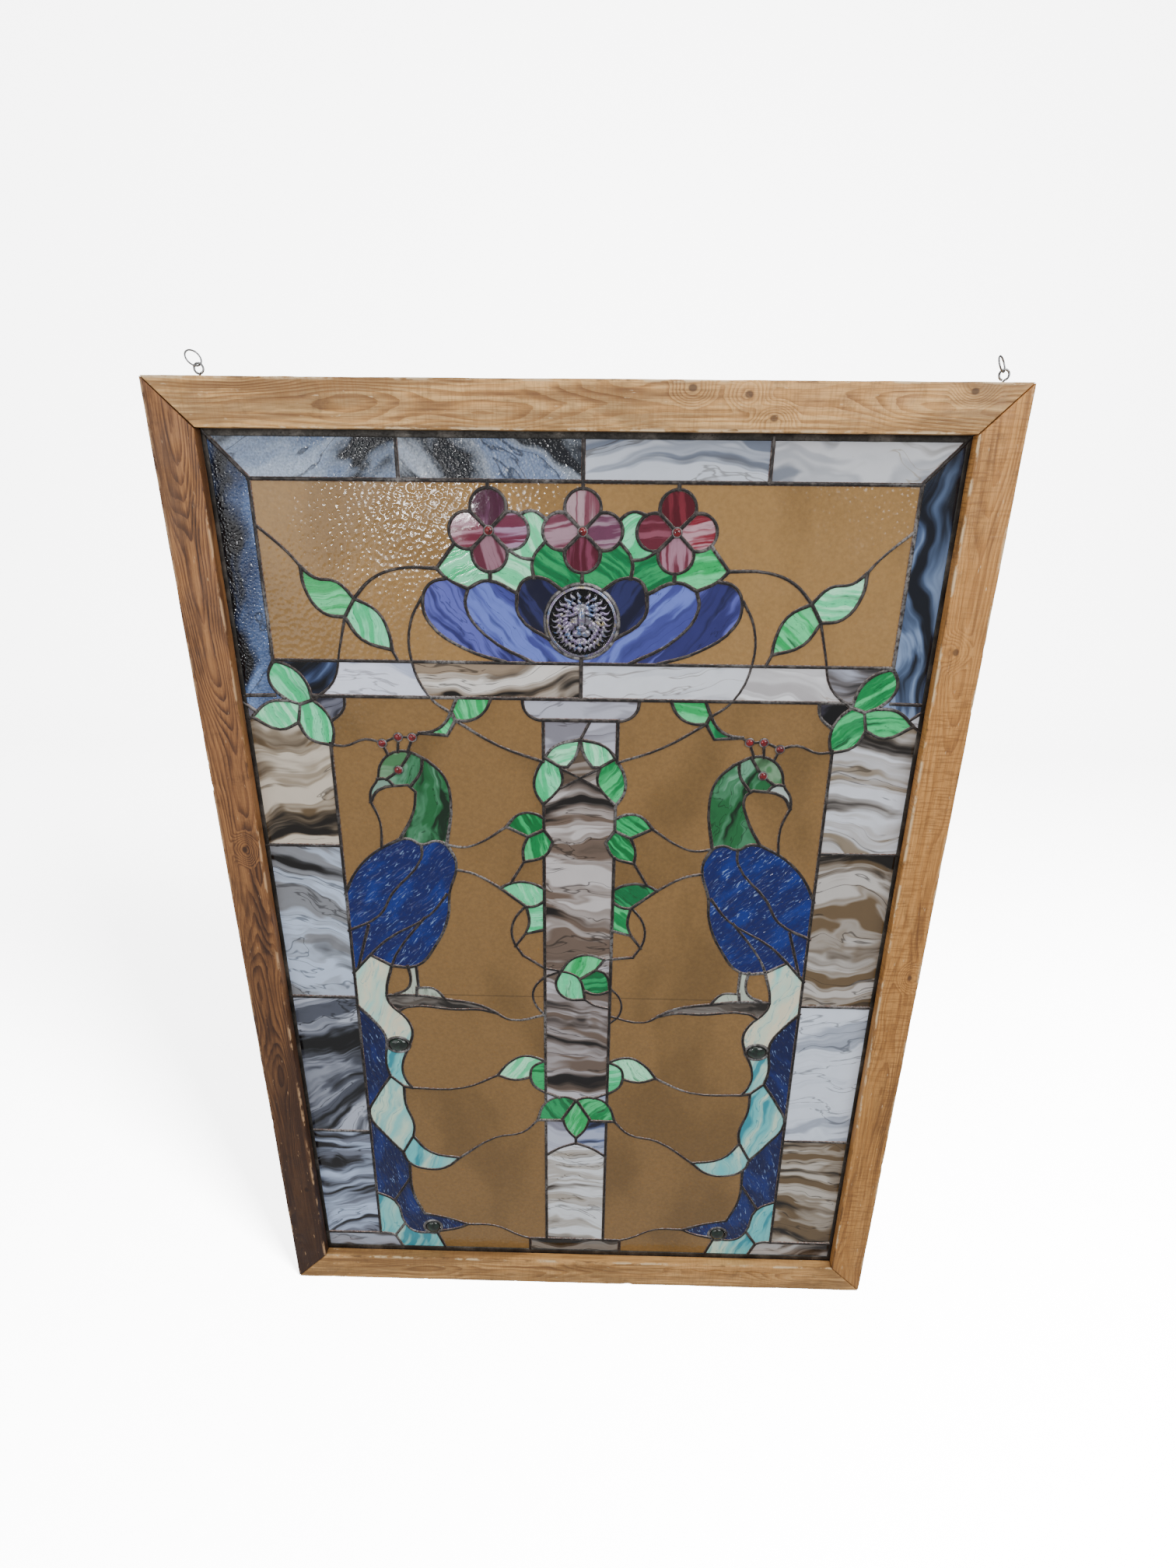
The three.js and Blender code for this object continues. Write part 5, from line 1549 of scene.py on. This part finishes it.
def stoneMaterial(name, main, deep, speck):
    material, add, shader, place = newMaterial(name)
    cloud = noise(add, place, 160, 3, 0.55)
    wireUp(shader, Base_Color=ramp(add, cloud, (0.35, deep), (0.55, main), (0.75, speck)),
           Roughness=span(add, cloud, 0.3, 0.7, 0.05, 0.14),
           Normal=bump(add, noise(add, place, 260, 2), 0.0004, 0.5), Coat_Weight=stoneValues["coat"])
    return material


def makeNugget(name, place, radii, material):
    x, z = placed(place)
    nugget = newBall((x, glassMidY, z), (radii[0], stoneValues["nuggetDepth"], radii[1]), 32, 20)
    nugget.name = nugget.data.name = "dark_" + name
    applyPlace(nugget)
    setMaterial(nugget, material)
    smoothShade(nugget, 60)
    finishPiece(nugget, "black_glass", name)


def makeStones():
    values = stoneValues
    flat = (math.pi / 2, 0, 0)
    stones, rims = [], []
    for place in stonePlaces:
        x, z = placed(place)
        front = netBox[0][1] + values["proud"]
        size = (values["radius"], values["radius"], values["rise"])
        stones.append(newBall((x, front, z), size, rotation=flat))
        rims.append(newTorus((x, front + values["rimProud"], z), values["radius"], values["rim"],
                             24, 8, flat))
    ruby = stoneMaterial("ruby_glass", *values["ruby"])
    for kind, things, slot, material in (("red_stones", stones, "ruby_glass", ruby),
                                         ("stone_rims", rims, "solder", bpy.data.materials["solder_rings"])):
        whole = joinAll(things, kind)
        applyPlace(whole)
        setMaterial(whole, material)
        smoothShade(whole, 60)
        finishPiece(whole, slot)
    dark = stoneMaterial("nugget_glass", *values["dark"])
    for side, name in ((1, "left"), (-1, "right")):
        for kind in ("oval", "nugget"):
            x, z = netValues[kind + "Place"]
            makeNugget("tail_%s_%s" % (kind, name), (x * side, z), netValues[kind + "Radius"], dark)
    print("stones: %d" % len(stonePlaces))


makeStones()


# Screw eyes and wire loops on the top board.
hookValues = dict(
    eyeRadius=0.0054, eyeWire=0.00125, eyeStart=0.25, eyeGap=0.45, eyeTwist=0.0009,
    shankSink=0.004, shankRise=0.0015, collarRadius=0.0021, collarWire=0.0006, collarRise=0.0004,
    loopRadius=0.0085, loopWire=0.0010, loopLong=1.04, loopWide=0.96, loopStations=16,
)


def steelMaterial():
    material, add, shader, place = newMaterial("steel_wire")
    spots = noise(add, place, 420, 4, 0.65)
    wireUp(shader, Base_Color=ramp(add, spots, (0.35, "4a443f"), (0.5, "8d8f91"), (0.7, "c3c4c4")),
           Metallic=0.9, Roughness=span(add, spots, 0.3, 0.7, 0.5, 0.24),
           Normal=bump(add, spots, 0.0002, 0.6))
    return material


def makeEye(name, steel):
    # The eye is bent from one wire: up the shank, round and back on to it.
    values = hookValues
    low, high = (Vector(corner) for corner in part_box("screw_eye_" + name))
    middle = (low + high) / 2
    centre = Vector((middle.x, middle.y, high.z - values["eyeRadius"] - values["eyeWire"]))
    points = [Vector((centre.x, centre.y, topZ - values["shankSink"])),
              Vector((centre.x, centre.y, topZ + values["shankRise"]))]
    for i in range(13):
        turn = -math.pi / 2 + values["eyeStart"] + (2 * math.pi - values["eyeGap"]) * i / 12
        points.append(centre + Vector((math.cos(turn), 0, math.sin(turn))) * values["eyeRadius"]
                      + Vector((0, values["eyeTwist"] * (i / 12 - 0.5), 0)))
    eye = tube("eye_" + name, points, values["eyeWire"], 3, 8)
    mergeDoubles(eye)
    collar = newTorus((centre.x, centre.y, topZ + values["collarRise"]), values["collarRadius"],
                      values["collarWire"], 20, 8)
    eye = joinAll([eye, collar], "screw_hook_" + name)
    applyPlace(eye)
    setMaterial(eye, steel)
    smoothShade(eye, 60)
    finishPiece(eye, "steel_wire", "screw_eye_" + name)


def makeLoop(name, steel):
    # The loop keeps the CAD loop's place and lean.
    values = hookValues
    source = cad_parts["hanging_loop_" + name]
    corners = [source.matrix_world @ v.co for v in source.data.vertices]
    core = sum(corners, Vector()) / len(corners)
    away = max(corners, key=lambda c: (c - core).length)
    first = (away - core).normalized()
    second = max(((c - core) - first * (c - core).dot(first) for c in corners), key=lambda v: v.length)
    second.normalize()
    turns = [2 * math.pi * i / values["loopStations"] for i in range(values["loopStations"])]
    ring = [core + (first * math.cos(t) * values["loopLong"] + second * math.sin(t) * values["loopWide"])
            * values["loopRadius"] for t in turns]
    loop = tube("loop_" + name, ring, values["loopWire"], 3, 8, closed=True)
    mergeDoubles(loop)
    loop.name = loop.data.name = "wire_loop_" + name
    setMaterial(loop, steel)
    smoothShade(loop, 60)
    finishPiece(loop, "steel_wire", "hanging_loop_" + name)


steel = steelMaterial()
for name in ("left", "right"):
    makeEye(name, steel)
    makeLoop(name, steel)
print("hooks: made")


# Stage and light.
stageValues = dict(wallY=4.5, sweep=1.5, width=24, wallHeight=8, glow=5.2, paper="f6f6f6", shade="f1f1f1",
                   room=0.48)
lightValues = (                               # name, place, aims at, size, watts, only the stage
    ("key", (1.7, -2.0, 0.9), (0.0, 0.0, -0.75), (1.8, 1.8), 46, False),
    ("fill", (-1.9, -2.2, 0.2), (0.0, 0.0, -0.7), (2.2, 2.2), 20, False),
    ("window", (-0.62, -2.05, -0.16), (-0.23, 0.0, -0.15), (0.24, 0.08), 5, False),
    ("top", (0.0, -0.9, 2.2), (0.0, 0.0, -0.9), (2.0, 1.2), 28, False),
    ("backdrop", (1.6, -1.7, 1.4), (-0.3, 0.6, -1.4), (0.9, 0.9), 1500, True),
)


def makeStage():
    values = stageValues
    bpy.ops.mesh.primitive_plane_add(size=1, location=(0, -values["width"] / 4, footZ))
    stage = newest()
    stage.name = "stage_floor"
    stage.scale = (values["width"], values["width"] / 2 + 2 * values["wallY"], 1)
    applyPlace(stage)
    # The rear edge is drawn up into a wall and the fold is rounded.
    rear = max(v.co.y for v in stage.data.vertices)
    pickEdges(stage, lambda edge: all(abs(stage.data.vertices[i].co.y - rear) < 1e-4 for i in edge.vertices))
    bpy.ops.mesh.extrude_region_move(TRANSFORM_OT_translate={"value": (0, 0, values["wallHeight"])})
    bpy.ops.object.mode_set(mode="OBJECT")
    addModifier(stage, "BEVEL", width=values["sweep"], segments=16, limit_method="ANGLE")
    applyModifiers(stage)
    smoothShade(stage, 60)
    material, add, shader, place = newMaterial("stage_paper")
    colour = ramp(add, noise(add, place, 30, 2), (0.3, values["shade"]), (0.7, values["paper"]))
    wireUp(shader, Base_Color=colour, Roughness=0.9, Emission_Color=(1, 1, 1, 1),
           Emission_Strength=values["glow"])
    setMaterial(stage, material)
    # The glowing paper is only a background: it throws no light on the window.
    stage.visible_diffuse = False
    stage.visible_glossy = False
    return stage


def makeLights(stage):
    only = bpy.data.collections.new("stageOnly")
    only.objects.link(stage)
    for name, place, aim, size, watts, stageOnly in lightValues:
        data = bpy.data.lights.new(name, "AREA")
        data.shape = "RECTANGLE"
        data.size, data.size_y = size
        data.energy = watts
        light = bpy.data.objects.new(name, data)
        light.location = place
        light.rotation_euler = (Vector(aim) - Vector(place)).to_track_quat("-Z", "Y").to_euler()
        bpy.context.collection.objects.link(light)
        if stageOnly:
            light.light_linking.receiver_collection = only
    world = bpy.data.worlds.new("room")
    world.use_nodes = True
    bpy.context.scene.world = world
    back = world.node_tree.nodes["Background"]
    back.inputs["Color"].default_value = (1.0, 1.0, 1.0, 1)
    back.inputs["Strength"].default_value = stageValues["room"]


makeLights(makeStage())
print("stage and lights: set")
